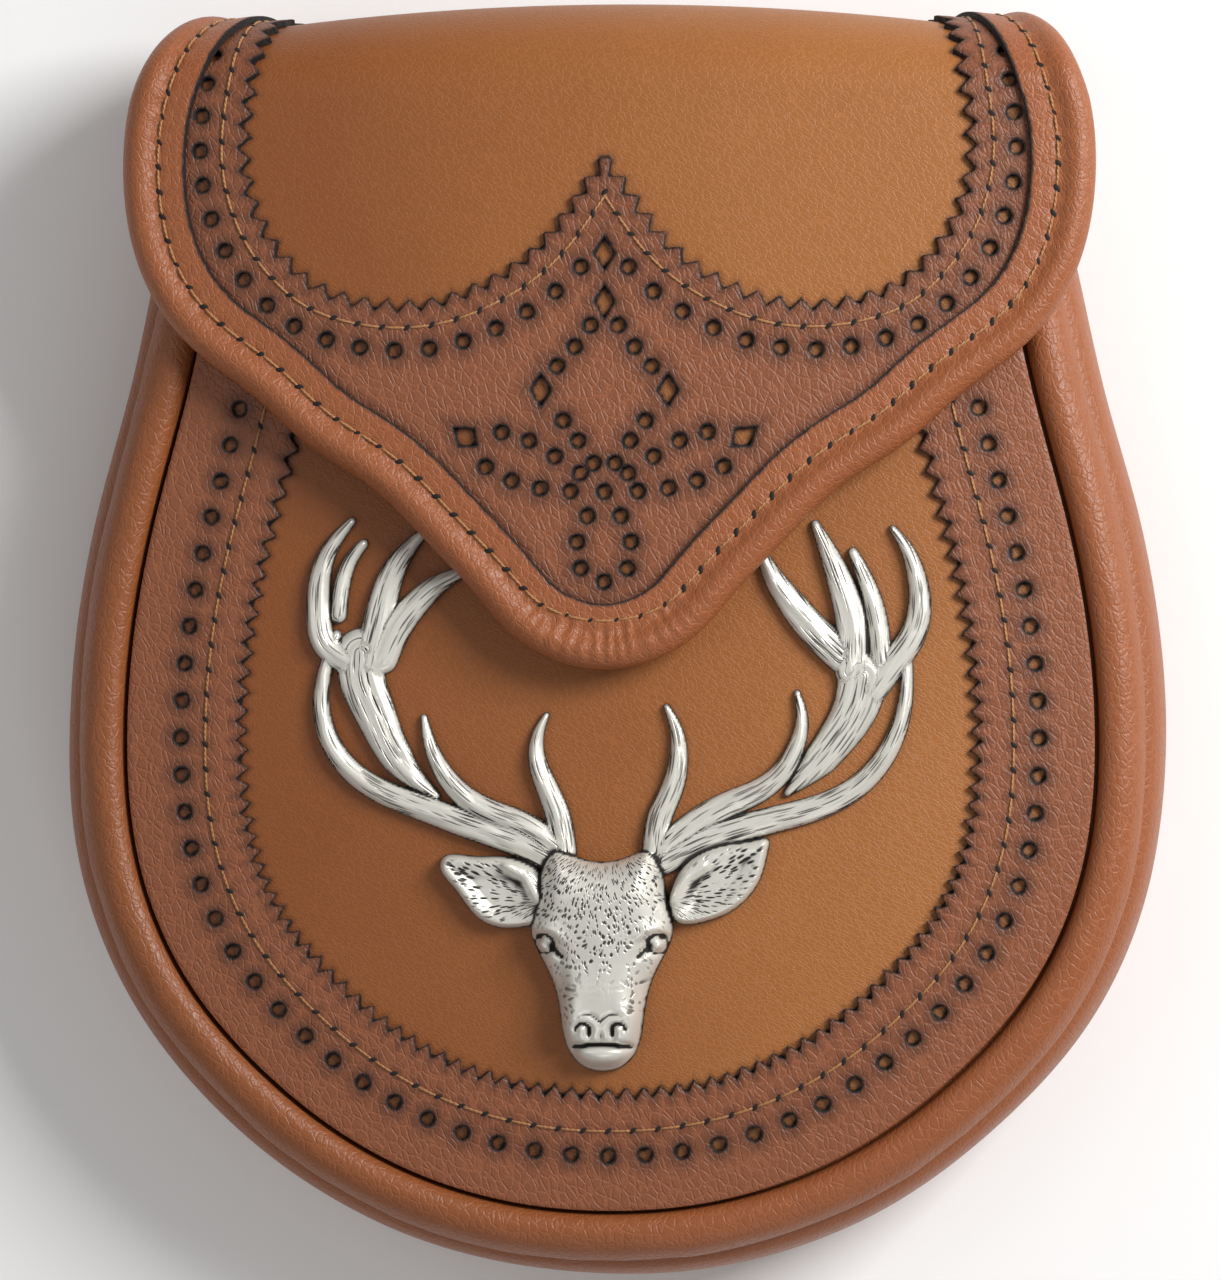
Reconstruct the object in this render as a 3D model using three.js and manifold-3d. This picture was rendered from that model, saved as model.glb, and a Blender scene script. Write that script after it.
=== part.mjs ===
// Sporran pouch: a hollow leather pouch that lies on its back with its front up.
// Millimetres, +Z up, +X to the right as seen from the front, +Y towards the pouch's top.

import * as THREE from 'three';
import { mergeVertices } from 'three/addons/utils/BufferGeometryUtils.js';
import Module from 'manifold-3d';

const wasm = await Module();
wasm.setup();

// Pouch
const totalHeight = 209.4;      // bottom of the gusset to the fold of the flap
const seamHalfWidth = 79.6;     // front panel, from the middle to its seam at the widest line
const lowerDepth = 77.8;        // widest line down to the bottom seam
const seamHeight = 29;          // floor to the front panel's face at its seam
const domeRise = 5;             // front panel's middle above its seam
const recess = 7.4;           // rear rim's depth behind the back panel
const gussetBulge = 10.4;       // gusset's middle layer beyond the seam, at its fullest
const rollWidth = 8.1;          // padded roll round the front seam
const rollRise = 2.4;           // roll's crest above the seam

// Leather
const backThickness = 2;
const frontThickness = 2;
const gussetThickness = 1.6;
const flapThickness = 2;
const overlayThickness = 1.2;
const bindingThickness = 1.2;

// Bands, punched holes and pinked edges
const frontBand = 19.5;         // front overlay, seam to the middle of its pinked edge
const frontRow = 9.3;           // seam to the front row of holes
const frontPitch = 6.1;         // between holes of the front row
const frontHoles = 48;
const flapRow = 7.3;            // flap's pinked edge to its row of holes
const flapPitch = 5.7;          // between holes of the flap's row
const toothPitch = 3.7;
const toothDepth = 2;
const holeRadius = 1.2;
const diamondWidth = 3.4;
const diamondHeight = 5.6;

// Flap
const flapHalfWidth = 79.3;
const flapFall = 109.7;         // fold to the tongue's tip, seen from the front
const flapLift = 3.2;           // front panel's face to the flap's under face
const foldReach = 14;           // flap's inner face beyond the line where its fold starts
const foldTaper = 6.9;         // how much less the fold reaches at its sides
const mouthSet = 2.4;           // fold's start down to the mouth
const tailLength = 24;          // flap on the back, from the fold's end down
const bindingWidth = 10.6;
const beadWidth = 3.4;          // padded outer edge of the binding, beside the leather
const beadRise = 0.7;           // padded edge above the flat band

// Badge
const badgeWidth = 100.8;       // antler to antler
const badgeSet = 2.8;           // pinked edge up to the chin
const headHeight = 8.6;         // stag's head above the panel

// Rear straps and the fastener
const loopWidth = 20;
const loopHeight = 46;
const loopThickness = 2;
const loopSpacing = 76;         // between the straps' middles
const loopFoot = 8;             // sewn foot at each end of a strap
const loopSet = 4;              // tail of the flap down to the straps
const studRadius = 6;
const studSet = 17;             // tongue's tip up to the stud's middle

const gap = 0.3;                // between pieces that touch
const layerGap = 0.8;          // between the flap's layers, whose facets bend apart
const floorGap = 0.3;           // straps above the surface

// Places worked out from the sizes
const gussetReach = gussetBulge + gussetThickness / 2;
const bottomSeam = -totalHeight / 2 + gussetReach;
const widestY = bottomSeam + lowerDepth;
const topY = totalHeight / 2;
const tipY = topY - flapFall;
const foldY = topY - flapThickness - foldReach;
const mouthY = foldY - mouthSet;
const domeReach = 1.5 * (mouthY - widestY);
const frontRun = foldY - tipY;
const backLow = recess;
const tailFace = backLow - gap;
const overlayLow = flapThickness + layerGap;
const bindingLow = overlayLow + overlayThickness + layerGap;
const beadTop = bindingLow + bindingThickness + beadRise;
const lipOut = 0.29 * gussetBulge;
const tailHalfWidth = 0.735 * seamHalfWidth + lipOut - gussetThickness / 2 - 2 * gap;

// Front seam's right half, mouth to bottom. across: share of seamHalfWidth. along: share of the
// height from the widest line to the mouth, or of lowerDepth where it is negative.
const seamRows = [
  { across: 0.735, along: 1 },
  { across: 0.819, along: 0.742 },
  { across: 0.876, along: 0.542 },
  { across: 0.941, along: 0.35 },
  { across: 0.986, along: 0.163 },
  { across: 1, along: 0 },
  { across: 0.97, along: -0.289 },
  { across: 0.864, along: -0.533 },
  { across: 0.729, along: -0.695 },
  { across: 0.548, along: -0.843 },
  { across: 0.352, along: -0.941 },
  { across: 0.18, along: -0.986 },
];

// Flap's right edge in the flat leather, tip to tail. across: share of flapHalfWidth, or of
// tailHalfWidth where along is 2 or more. along: 0 tip, 1 fold's start, 2 fold's end, 3 tail's end.
const flapRows = [
  { across: 0.135, along: 0.03 },
  { across: 0.198, along: 0.066 },
  { across: 0.257, along: 0.128 },
  { across: 0.351, along: 0.212 },
  { across: 0.489, along: 0.327 },
  { across: 0.617, along: 0.395 },
  { across: 0.718, along: 0.476 },
  { across: 0.83, along: 0.544 },
  { across: 0.938, along: 0.651 },
  { across: 0.985, along: 0.757 },
  { across: 1, along: 0.862 },
  { across: 0.986, along: 1 },
  { across: 0.962, along: 1.14 },
  { across: 0.925, along: 1.315 },
  { across: 0.862, along: 1.55 },
  { across: 0.8, along: 1.8 },
  { across: 0.98, along: 2.15 },
  { across: 0.965, along: 2.45 },
  { across: 0.95, along: 2.7 },
  { across: 0.93, along: 3 },
];

// Pinked edge of the flap's overlay, right half, tail to the middle peak, in the same shares.
const scallopRows = [
  { across: 0.7, along: 3 },
  { across: 0.73, along: 2.4 },
  { across: 0.79, along: 2 },
  { across: 0.66, along: 1.6 },
  { across: 0.705, along: 1.3 },
  { across: 0.735, along: 1 },
  { across: 0.745, along: 0.896 },
  { across: 0.731, along: 0.827 },
  { across: 0.697, along: 0.76 },
  { across: 0.65, along: 0.708 },
  { across: 0.595, along: 0.669 },
  { across: 0.517, along: 0.644 },
  { across: 0.416, along: 0.634 },
  { across: 0.328, along: 0.644 },
  { across: 0.246, along: 0.671 },
  { across: 0.16, along: 0.717 },
  { across: 0.083, along: 0.788 },
  { across: 0.033, along: 0.849 },
  { across: 0.004, along: 0.88 },
];

// Punched motif on the tongue. across: share of flapHalfWidth, with a mirrored hole where it isn't
// 0. along: share of the flap's run from its tip to its fold.
const motifRound = [
  { across: 0.028, along: 0.599 },
  { across: 0.061, along: 0.562 },
  { across: 0.097, along: 0.528 },
  { across: 0.084, along: 0.434 },
  { across: 0.053, along: 0.399 },
  { across: 0.022, along: 0.36 },
  { across: 0.049, along: 0.343 },
  { across: 0.101, along: 0.372 },
  { across: 0.154, along: 0.399 },
  { across: 0.21, along: 0.414 },
  { across: 0.243, along: 0.354 },
  { across: 0.19, along: 0.33 },
  { across: 0.131, along: 0.317 },
  { across: 0.069, along: 0.312 },
  { across: 0, along: 0.311 },
  { across: 0.034, along: 0.269 },
  { across: 0.055, along: 0.224 },
  { across: 0.048, along: 0.178 },
  { across: 0, along: 0.155 },
];
const motifDiamonds = [
  { across: 0, along: 0.724, slant: 0 },
  { across: 0, along: 0.64, slant: 0 },
  { across: 0.13, along: 0.487, slant: 0 },
  { across: 0.285, along: 0.406, slant: 1 },
];

// Antler tines from root to tip: across and along are percent of badgeWidth from the middle of
// the brow, wide is the tine's width there.
const tineRows = {
  leftBrow: [[-6.9, -1, 3.2], [-8.2, 7, 3], [-11.4, 16, 2.6], [-9.7, 22.3, 1.2]],
  leftBez: [[-7, -1, 3], [-16, 5.4, 3.4], [-25, 10.8, 3.2], [-29.7, 21.9, 1.3]],
  leftOuter: [[-9, -0.6, 3], [-24, 4.9, 3.4], [-38, 10.6, 3.4], [-46.2, 23, 3], [-43.9, 35.3, 1.4]],
  leftTrunk: [[-26, 7.6, 3.4], [-34.5, 16, 4.4], [-39, 26.5, 6.2], [-40, 32.2, 5.4]],
  leftCrownA: [[-41, 30, 4], [-46.5, 36, 3.4], [-46.6, 45, 3], [-41.5, 53.7, 1.2]],
  leftCrownB: [[-44.5, 35, 2.6], [-43, 43.7, 2], [-39.6, 50, 1]],
  leftCrownC: [[-38.7, 29, 4], [-36.5, 40, 3.4], [-30, 51.6, 1.4]],
  leftCrownD: [[-37, 30, 3.4], [-33, 38.5, 2.8], [-24.1, 45.2, 1.4]],
  rightBrow: [[6.9, -1, 3.2], [8.8, 7, 3], [11.6, 16, 2.6], [9.7, 23.7, 1.2]],
  rightBez: [[7, -1, 3], [18, 7, 3.4], [28.4, 13.2, 3.2], [30.8, 25.9, 1.3]],
  rightOuter: [[9, -0.6, 3], [26, 5.2, 3.4], [40, 10.6, 3.4], [47.6, 21, 3], [48.6, 31.8, 1.4]],
  rightTrunk: [[26, 7.6, 3.4], [36, 16.6, 4.6], [41, 26.5, 7], [41.4, 30, 6.6]],
  rightCrownA: [[40, 29, 4], [34, 35.8, 3.2], [25.2, 48.2, 1.4]],
  rightCrownB: [[40, 29, 4], [39.2, 39, 3.2], [33.7, 53.1, 1.4]],
  rightCrownC: [[43, 28, 3.6], [43.6, 38.1, 2.4], [39.8, 48.6, 1.1]],
  rightCrownD: [[42, 26, 4], [49, 35, 3.2], [50, 44, 2.9], [46.2, 52.4, 1.2]],
  leftEar: [[-7, -7.4, 4], [-12, -6.9, 8], [-18, -5.8, 10], [-23, -4, 7], [-27, -1.6, 1.6]],
  rightEar: [[7, -7.2, 4], [12, -6.4, 8], [17.5, -4.9, 10], [22.6, -2.4, 7], [26.3, 1.4, 1.6]],
};

// Stag's head from brow to chin. along and half are percent of badgeWidth, rise is a share of
// headHeight.
const headRows = [
  { along: 2, half: 3, rise: 0.25 },
  { along: -0.5, half: 7.4, rise: 0.48 },
  { along: -6, half: 10.2, rise: 0.68 },
  { along: -12.4, half: 11.4, rise: 0.78 },
  { along: -17.3, half: 9.6, rise: 0.8 },
  { along: -21, half: 7.8, rise: 0.84 },
  { along: -26, half: 6.7, rise: 0.96 },
  { along: -29.5, half: 6.8, rise: 1 },
  { along: -32.4, half: 5.4, rise: 0.72 },
  { along: -35.3, half: 2, rise: 0.3 },
];

const seamSteps = 30;
const flapSteps = 72;
const denseSteps = 400;
const holeSides = 6;
const longestFacet = 32;

// Front panel's face: a dome whose seam stays near one height.
function domeAt(x, y) {
  const run = y - widestY;
  const span = run > 0 ? domeReach : lowerDepth;
  return seamHeight + domeRise * (1 - (x / seamHalfWidth) ** 2 - (run / span) ** 2);
}

// Flap's inner face at the front edge of its fold, and the fold's two half axes there.
function foldAt(x) {
  const front = domeAt(x, foldY) + flapLift;
  const reach = foldReach - foldTaper * (x / flapHalfWidth) ** 2;
  return { reach, half: (front - tailFace) / 2 };
}
const foldRun = Math.PI * (foldReach + foldAt(0).half) / 2;

// Flap's inner face for a point of the flat leather: along the front dome, round the fold as
// half an ellipse, and down the back.
function flapFace(x, run) {
  if (run < frontRun) {
    const y = tipY + run;
    return new THREE.Vector3(x, y, domeAt(x, y) + flapLift);
  }
  const { reach, half } = foldAt(x);
  const turn = Math.min((run - frontRun) / foldRun, 1) * Math.PI;
  const tail = Math.max(run - frontRun - foldRun, 0);
  return new THREE.Vector3(x, foldY + reach * Math.sin(turn) - tail,
    tailFace + half * (1 + Math.cos(turn)));
}

// A point of the flap, lifted off its inner face along the leather's normal.
function onFlap(x, run, lift) {
  const step = 0.05;
  const here = flapFace(x, run);
  const right = flapFace(x + step, run).sub(here);
  const on = flapFace(x, run + step).sub(here);
  return here.addScaledVector(right.cross(on).normalize(), lift);
}

const onLevel = (x, y, z) => new THREE.Vector3(x, y, z);

function onFront(x, y, lift) {
  return new THREE.Vector3(x, y, domeAt(x, y) + lift);
}

// Length along the flat flap for a row's share: front run, fold, then tail.
function flapRun(along) {
  const tail = Math.max(along - 2, 0) * tailLength;
  return Math.min(along, 1) * frontRun + THREE.MathUtils.clamp(along - 1, 0, 1) * foldRun + tail;
}

function flapPoint({ across, along }) {
  return new THREE.Vector2(across * (along >= 2 ? tailHalfWidth : flapHalfWidth), flapRun(along));
}

const mirrored = (point) => new THREE.Vector2(-point.x, point.y);

function spaced(points, steps) {
  return new THREE.SplineCurve(points).getSpacedPoints(steps);
}

// A path's points moved sideways: to the left of its direction where distance is positive.
function offset(points, distance) {
  return points.map((point, i) => {
    const before = points[Math.max(i - 1, 0)];
    const after = points[Math.min(i + 1, points.length - 1)];
    const way = after.clone().sub(before).normalize();
    return new THREE.Vector2(point.x - way.y * distance, point.y + way.x * distance);
  });
}

function lengths(points) {
  const sums = [0];
  points.slice(1).forEach((point, i) => sums.push(sums[i] + point.distanceTo(points[i])));
  return sums;
}

function indexAt(sums, distance) {
  const found = sums.findIndex((sum) => sum >= distance);
  return found < 0 ? sums.length - 1 : found;
}

function between(points, from, to, pieces) {
  return Array.from({ length: pieces + 1 }, (_, k) =>
    points[Math.round(from + (to - from) * k / pieces)]);
}

function signedVolume(vertices, faces) {
  return faces.reduce((sum, [a, b, c]) =>
    sum + vertices[a].dot(vertices[b].clone().cross(vertices[c])) / 6, 0);
}

function geometryOf(vertices, faces) {
  const outward = signedVolume(vertices, faces) > 0;
  const geometry = new THREE.BufferGeometry();
  geometry.setAttribute('position',
    new THREE.Float32BufferAttribute(vertices.flatMap((v) => v.toArray()), 3));
  geometry.setIndex(faces.flatMap(([a, b, c]) => (outward ? [a, b, c] : [a, c, b])));
  return geometry;
}

// A leather sheet of flat cells that share their cross lines, placed at two heights and walled
// round every edge that only one triangle uses.
function sheet(cells, place, low, high) {
  const flat = [];
  const known = new Map();
  const indexOf = (point) => {
    const key = `${Math.round(point.x * 500)} ${Math.round(point.y * 500)}`;
    if (!known.has(key)) known.set(key, flat.push(point) - 1);
    return known.get(key);
  };
  const faces = [];
  for (const { outline, holes = [] } of cells) {
    const points = [outline, ...holes].flat();
    for (const corners of THREE.ShapeUtils.triangulateShape(outline, holes)) {
      const [a, b, c] = corners.map((corner) => indexOf(points[corner]));
      if (a === b || b === c || c === a) continue;
      const turn = flat[b].clone().sub(flat[a]).cross(flat[c].clone().sub(flat[a]));
      faces.push(turn > 0 ? [a, b, c] : [a, c, b]);
    }
  }
  if (place !== onLevel) splitLong(flat, faces);
  return walled(flat.map((p) => place(p.x, p.y, low)), flat.map((p) => place(p.x, p.y, high)),
    faces);
}

// Halves each long edge that two facets share, so that none cuts straight through a curve.
function splitLong(flat, faces) {
  const isLong = (a, b) => flat[a].distanceTo(flat[b]) > longestFacet;
  for (let f = 0; f < faces.length; f += 1) {
    for (let k = 0; k < 3; k += 1) {
      const [a, b, c] = [0, 1, 2].map((step) => faces[f][(k + step) % 3]);
      if (!isLong(a, b)) continue;
      const g = faces.findIndex((face) => face.includes(a) && face.includes(b)
        && face[(face.indexOf(b) + 1) % 3] === a);
      if (g < 0) continue;
      const d = faces[g].find((corner) => corner !== a && corner !== b);
      const m = flat.push(flat[a].clone().lerp(flat[b], 0.5)) - 1;
      faces[f] = [a, m, c];
      faces[g] = [b, m, d];
      faces.push([m, b, c], [m, a, d]);
      f = -1;
      break;
    }
  }
}

function walled(lower, upper, faces) {
  const count = lower.length;
  const used = new Set(faces.flatMap(([a, b, c]) => [`${a} ${b}`, `${b} ${c}`, `${c} ${a}`]));
  const walls = [];
  for (const [a, b, c] of faces) {
    for (const [from, to] of [[a, b], [b, c], [c, a]]) {
      if (used.has(`${to} ${from}`)) continue;
      walls.push([from, from + count, to + count], [from, to + count, to]);
    }
  }
  const tops = faces.map((face) => face.map((i) => i + count));
  const bottoms = faces.map(([a, b, c]) => [a, c, b]);
  return geometryOf([...lower, ...upper], [...tops, ...bottoms, ...walls.map(([a, b, c]) =>
    [a, c, b])]);
}

// A closed section carried along stations, with flat ends.
function sweep(rings) {
  const sides = rings[0].length;
  const vertices = rings.flat();
  const faces = [];
  for (let ring = 0; ring < rings.length - 1; ring += 1) {
    for (let side = 0; side < sides; side += 1) {
      const a = ring * sides + side;
      const b = ring * sides + (side + 1) % sides;
      faces.push([a, b, b + sides], [a, b + sides, a + sides]);
    }
  }
  return { vertices, faces, sides };
}

function closedSweep(rings, outline) {
  const { vertices, faces, sides } = sweep(rings);
  const last = vertices.length - sides;
  for (const [a, b, c] of THREE.ShapeUtils.triangulateShape(outline, [])) {
    const turn = outline[b].clone().sub(outline[a]).cross(outline[c].clone().sub(outline[a]));
    const [p, q] = turn * area(outline) > 0 ? [b, c] : [c, b];
    faces.push([a, q, p], [last + a, last + p, last + q]);
  }
  return geometryOf(vertices, faces);
}

const area = (outline) => THREE.ShapeUtils.area(outline);

// An open line given a thickness, with mitred corners.
function thicken(line, thickness) {
  const side = (sign) => line.map((point, i) => {
    const ways = [[i - 1, i], [i, i + 1]]
      .filter(([from, to]) => from >= 0 && to < line.length)
      .map(([from, to]) => line[to].clone().sub(line[from]).normalize());
    const normals = ways.map((way) => new THREE.Vector2(-way.y, way.x));
    const middle = normals.reduce((sum, n) => sum.clone().add(n)).normalize();
    return point.clone().addScaledVector(middle, sign * thickness / 2 / middle.dot(normals[0]));
  });
  return [...side(1), ...side(-1).reverse()];
}

// Seam path from the left end of the mouth round the bottom to the right end, with its outward
// side to the left of its direction reversed.
const seamRight = seamRows.map(({ across, along }) => new THREE.Vector2(across * seamHalfWidth,
  widestY + along * (along > 0 ? mouthY - widestY : lowerDepth)));
const seamPath = [...seamRight.map(mirrored), new THREE.Vector2(0, bottomSeam),
  ...seamRight.toReversed()];
const seamStations = spaced(seamPath, seamSteps);

function alongSeam(sectionAt) {
  const outward = offset(seamStations, -1).map((p, i) => p.sub(seamStations[i]));
  const sections = seamStations.map((p) => sectionAt(domeAt(p.x, p.y)));
  const rings = seamStations.map((p, i) => sections[i].map(({ x: out, y: z }) =>
    new THREE.Vector3(p.x + outward[i].x * out, p.y + outward[i].y * out, z)));
  return closedSweep(rings, sections[0]);
}

// Gusset: a flange under the front panel, a bulging wall, and a rolled rim that stands on the
// surface and comes up behind the back panel.
function gussetSection(seamZ) {
  const middle = gussetThickness / 2;
  const flange = seamZ - frontThickness - gap - middle;
  const line = [
    [-0.12 * gussetBulge, flange],
    [0.38 * gussetBulge, flange - 0.9],
    [0.79 * gussetBulge, flange - 0.17 * seamHeight],
    [gussetBulge, 0.5 * seamHeight],
    [0.94 * gussetBulge, 0.9 * recess],
    [0.77 * gussetBulge, middle],
    [0.5 * gussetBulge, middle],
    [0.33 * gussetBulge, middle + 0.28 * recess],
    [lipOut, recess - gap],
  ];
  return thicken(line.map(([out, z]) => new THREE.Vector2(out, z)), gussetThickness);
}

function rollSection(seamZ) {
  const shares = [
    [0.04, 0], [0.15, 0.67], [0.36, 1], [0.62, 0.88], [0.85, 0.3], [1, -0.67], [0.94, -1.6],
    [0.64, -1.4], [0.04, -0.6],
  ];
  return shares.map(([out, up]) => new THREE.Vector2(out * rollWidth, seamZ + up * rollRise));
}

// Front panel: rings of the seam's outline drawn in towards the middle of the widest line.
function frontPanel() {
  const side = offset(seamStations, gap);
  const mouthSteps = 8;
  const [start, end] = [side[side.length - 1], side[0]];
  const mouth = Array.from({ length: mouthSteps - 1 }, (_, k) =>
    start.clone().lerp(end, (k + 1) / mouthSteps));
  const rim = [...side, ...mouth];
  const middle = new THREE.Vector2(0, widestY);
  const shares = [1, 0.76, 0.4];
  const flat = shares.flatMap((share) => rim.map((p) => middle.clone().lerp(p, share)));
  flat.push(middle);
  const faces = [];
  rim.forEach((_, i) => {
    const next = (i + 1) % rim.length;
    for (let ring = 0; ring < shares.length - 1; ring += 1) {
      const [a, b] = [ring * rim.length + i, ring * rim.length + next];
      faces.push([a, b, b + rim.length], [a, b + rim.length, a + rim.length]);
    }
    const inner = (shares.length - 1) * rim.length;
    faces.push([inner + i, inner + next, flat.length - 1]);
  });
  return walled(flat.map((p) => onFront(p.x, p.y, -frontThickness)),
    flat.map((p) => onFront(p.x, p.y, 0)), faces);
}

function backPanel() {
  const out = 0.94 * gussetBulge - gussetThickness / 2 - 2 * gap;
  const side = offset(seamStations, -out);
  const top = side[0].y;
  const corner = 0.3 * mouthSet;
  const outline = [...side, new THREE.Vector2(side.at(-1).x - corner, top + 2 * corner),
    new THREE.Vector2(side[0].x + corner, top + 2 * corner)];
  return sheet([{ outline }], onLevel, backLow, backLow + backThickness);
}

function roundHole(middle) {
  return Array.from({ length: holeSides }, (_, k) => {
    const turn = 2 * Math.PI * (k + 0.5) / holeSides;
    return new THREE.Vector2(middle.x + holeRadius * Math.cos(turn),
      middle.y + holeRadius * Math.sin(turn));
  });
}

function diamondHole({ x, y }, slant) {
  const [w, h] = [diamondWidth / 2, diamondHeight / 2];
  const corners = slant ? [[-1.3 * w, 0.5 * w], [0, h], [1.3 * w, 0.5 * w], [0.3 * w, -0.9 * w]]
    : [[-w, 0], [0, h], [w, 0], [0, -h]];
  return corners.map(([dx, dy]) => new THREE.Vector2(x + dx * Math.sign(slant || 1), y + dy));
}

// A pinked edge between two places of a path: each tooth has a root and a point.
function teeth(inner, from, to) {
  const sums = lengths(inner);
  const count = Math.max(Math.round((sums[to] - sums[from]) / toothPitch), 1);
  const cut = offset(inner, toothDepth);
  return Array.from({ length: count }, (_, k) => {
    const root = indexAt(sums, sums[from] + (sums[to] - sums[from]) * k / count);
    const point = indexAt(sums, sums[from] + (sums[to] - sums[from]) * (k + 0.5) / count);
    return [inner[root], cut[point]];
  }).flat();
}

// Front overlay: sections of the band round the seam, each with three holes, plain near the
// mouth where the flap hides it.
function frontOverlay() {
  const seam = spaced(seamPath, denseSteps);
  const row = offset(seam, frontRow);
  const outer = offset(seam, 2 * gap);
  const inner = offset(seam, frontBand - toothDepth / 2);
  const sums = lengths(row);
  const holed = Math.round(frontHoles / 3);
  const plain = Math.floor((sums.at(-1) - holed * 3 * frontPitch) / 2 / (3 * frontPitch));
  const margin = (sums.at(-1) - holed * 3 * frontPitch) / 2;
  const bounds = [
    ...Array.from({ length: plain }, (_, k) => margin * k / plain),
    ...Array.from({ length: holed + 1 }, (_, k) => margin + 3 * frontPitch * k),
    ...Array.from({ length: plain }, (_, k) => sums.at(-1) - margin * (plain - 1 - k) / plain),
  ];
  const cells = bounds.slice(1).map((end, k) => {
    const [from, to] = [indexAt(sums, bounds[k]), indexAt(sums, end)];
    const edge = teeth(inner, from, to);
    const punched = k >= plain && k < plain + holed;
    const holes = punched ? [0.5, 1.5, 2.5].map((share) =>
      roundHole(row[indexAt(sums, bounds[k] + share * frontPitch)])) : [];
    return { outline: [...between(outer, to, from, 2), ...edge, inner[to]], holes };
  });
  return sheet(cells, onFront, gap, gap + overlayThickness);
}

const flapRight = flapRows.map(flapPoint);
const flapEdge = [...flapRight.toReversed().map(mirrored), new THREE.Vector2(0, 0),
  ...flapRight];

// Flap panel: rows across the leather, tip to tail, inside the binding's padded edge.
function flapPanel() {
  const edge = spaced(flapEdge, 2 * 34);
  const inset = offset(edge, beadWidth);
  const columns = 6;
  const rows = inset.slice(34).map((point, i) => (i ? point : new THREE.Vector2(0, beadWidth)));
  rows.at(-1).y = edge.at(-1).y;
  const flat = rows.flatMap((row) => Array.from({ length: columns + 1 }, (_, k) =>
    new THREE.Vector2(row.x * (2 * k / columns - 1), row.y)));
  const faces = [];
  for (let row = 0; row < rows.length - 1; row += 1) {
    for (let column = 0; column < columns; column += 1) {
      const a = row * (columns + 1) + column;
      const above = a + columns + 1;
      if (row > 0) faces.push([a, a + 1, above + 1]);
      faces.push([row > 0 ? a : 0, above + 1, above]);
    }
  }
  return trimmed(flat, faces, 0, flapThickness);
}

// The same sheet with the unused points of its pointed end left out.
function trimmed(flat, faces, low, high) {
  const kept = [...new Set(faces.flat())];
  const place = new Map(kept.map((old, i) => [old, i]));
  const points = kept.map((i) => flat[i]);
  return walled(points.map((p) => onFlap(p.x, p.y, low)),
    points.map((p) => onFlap(p.x, p.y, high)), faces.map((face) => face.map((i) => place.get(i))));
}

// Where the line through a hole row's place meets the overlay's outer edge.
function across(from, through, edge) {
  const way = through.clone().sub(from).normalize();
  let best = 0;
  let least = Infinity;
  edge.forEach((point, i) => {
    const reach = point.clone().sub(through);
    const aside = Math.abs(reach.cross(way));
    if (reach.dot(way) > 0 && reach.length() < 40 && aside < least) {
      least = aside;
      best = i;
    }
  });
  return best;
}

// Flap's overlay: an arm down each side in sections, and a tongue in one cell, with the hole row
// set in from the pinked edge and the motif on the tongue.
function flapOverlay() {
  const tongueHoles = 7;
  const armSections = 3;
  const pinked = spaced(scallopRows.map(flapPoint), denseSteps);
  const row = offset(pinked, flapRow).reverse();
  const inner = pinked.toReversed();
  const edge = offset(spaced(flapEdge, 2 * denseSteps), beadWidth + gap).slice(denseSteps);
  const start = row.findIndex((p, i) => p.x > 0.63 * flapPitch && row[i + 1].x > p.x);
  const sums = lengths(row).map((sum, i, all) => sum - all[start]);
  const holesAt = Array.from({ length: tongueHoles + 3 * armSections }, (_, k) =>
    row[indexAt(sums, k * flapPitch)]);
  const bounds = Array.from({ length: armSections + 1 }, (_, k) =>
    indexAt(sums, (tongueHoles + 3 * k - 0.5) * flapPitch));
  const rest = row.length - 1 - bounds.at(-1);
  const slope = row[bounds.at(-1)].y - inner[bounds.at(-1)].y;
  const plainSections = 24;
  for (let k = 1; k <= plainSections; k += 1) {
    bounds.push(Math.round(bounds[armSections] + rest * k / plainSections));
  }
  const ends = bounds.map((i, k) => (k <= armSections ? across(inner[i], row[i], edge)
    : Math.max(edge.findIndex((p) => p.y >= inner[i].y + slope), 0) || edge.length - 1));
  const right = bounds.slice(1).map((to, k) => {
    const from = bounds[k];
    const outside = between(edge, ends[k + 1], ends[k], k < armSections ? 3 : 1);
    const holes = k < armSections
      ? holesAt.slice(tongueHoles + 3 * k, tongueHoles + 3 * k + 3).map(roundHole) : [];
    return { outline: [...teeth(inner, from, to), inner[to], ...outside], holes };
  });
  const left = right.map(({ outline, holes }) => ({
    outline: outline.map(mirrored), holes: holes.map((hole) => hole.map(mirrored)),
  }));
  const rim = between(edge, 0, ends[0], 14).slice(1);
  const comb = teeth(inner, 0, bounds[0]).slice(1);
  const outline = [...rim, inner[bounds[0]], ...comb.toReversed(), ...comb.map(mirrored),
    mirrored(inner[bounds[0]]), ...rim.toReversed().map(mirrored),
    new THREE.Vector2(0, beadWidth + gap)];
  const round = [...holesAt.slice(0, tongueHoles), ...motifRound.map(flapPoint)];
  const sloped = motifDiamonds.map((hole) => ({ point: flapPoint(hole), slant: hole.slant }));
  const holes = [
    ...round.map(roundHole), ...round.filter((p) => p.x > 0).map((p) => roundHole(mirrored(p))),
    ...sloped.map(({ point, slant }) => diamondHole(point, slant)),
    ...sloped.filter(({ point }) => point.x > 0)
      .map(({ point, slant }) => diamondHole(mirrored(point), -slant)),
  ];
  return sheet([...right, ...left, { outline, holes }], onFlap, overlayLow,
    overlayLow + overlayThickness);
}

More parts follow.
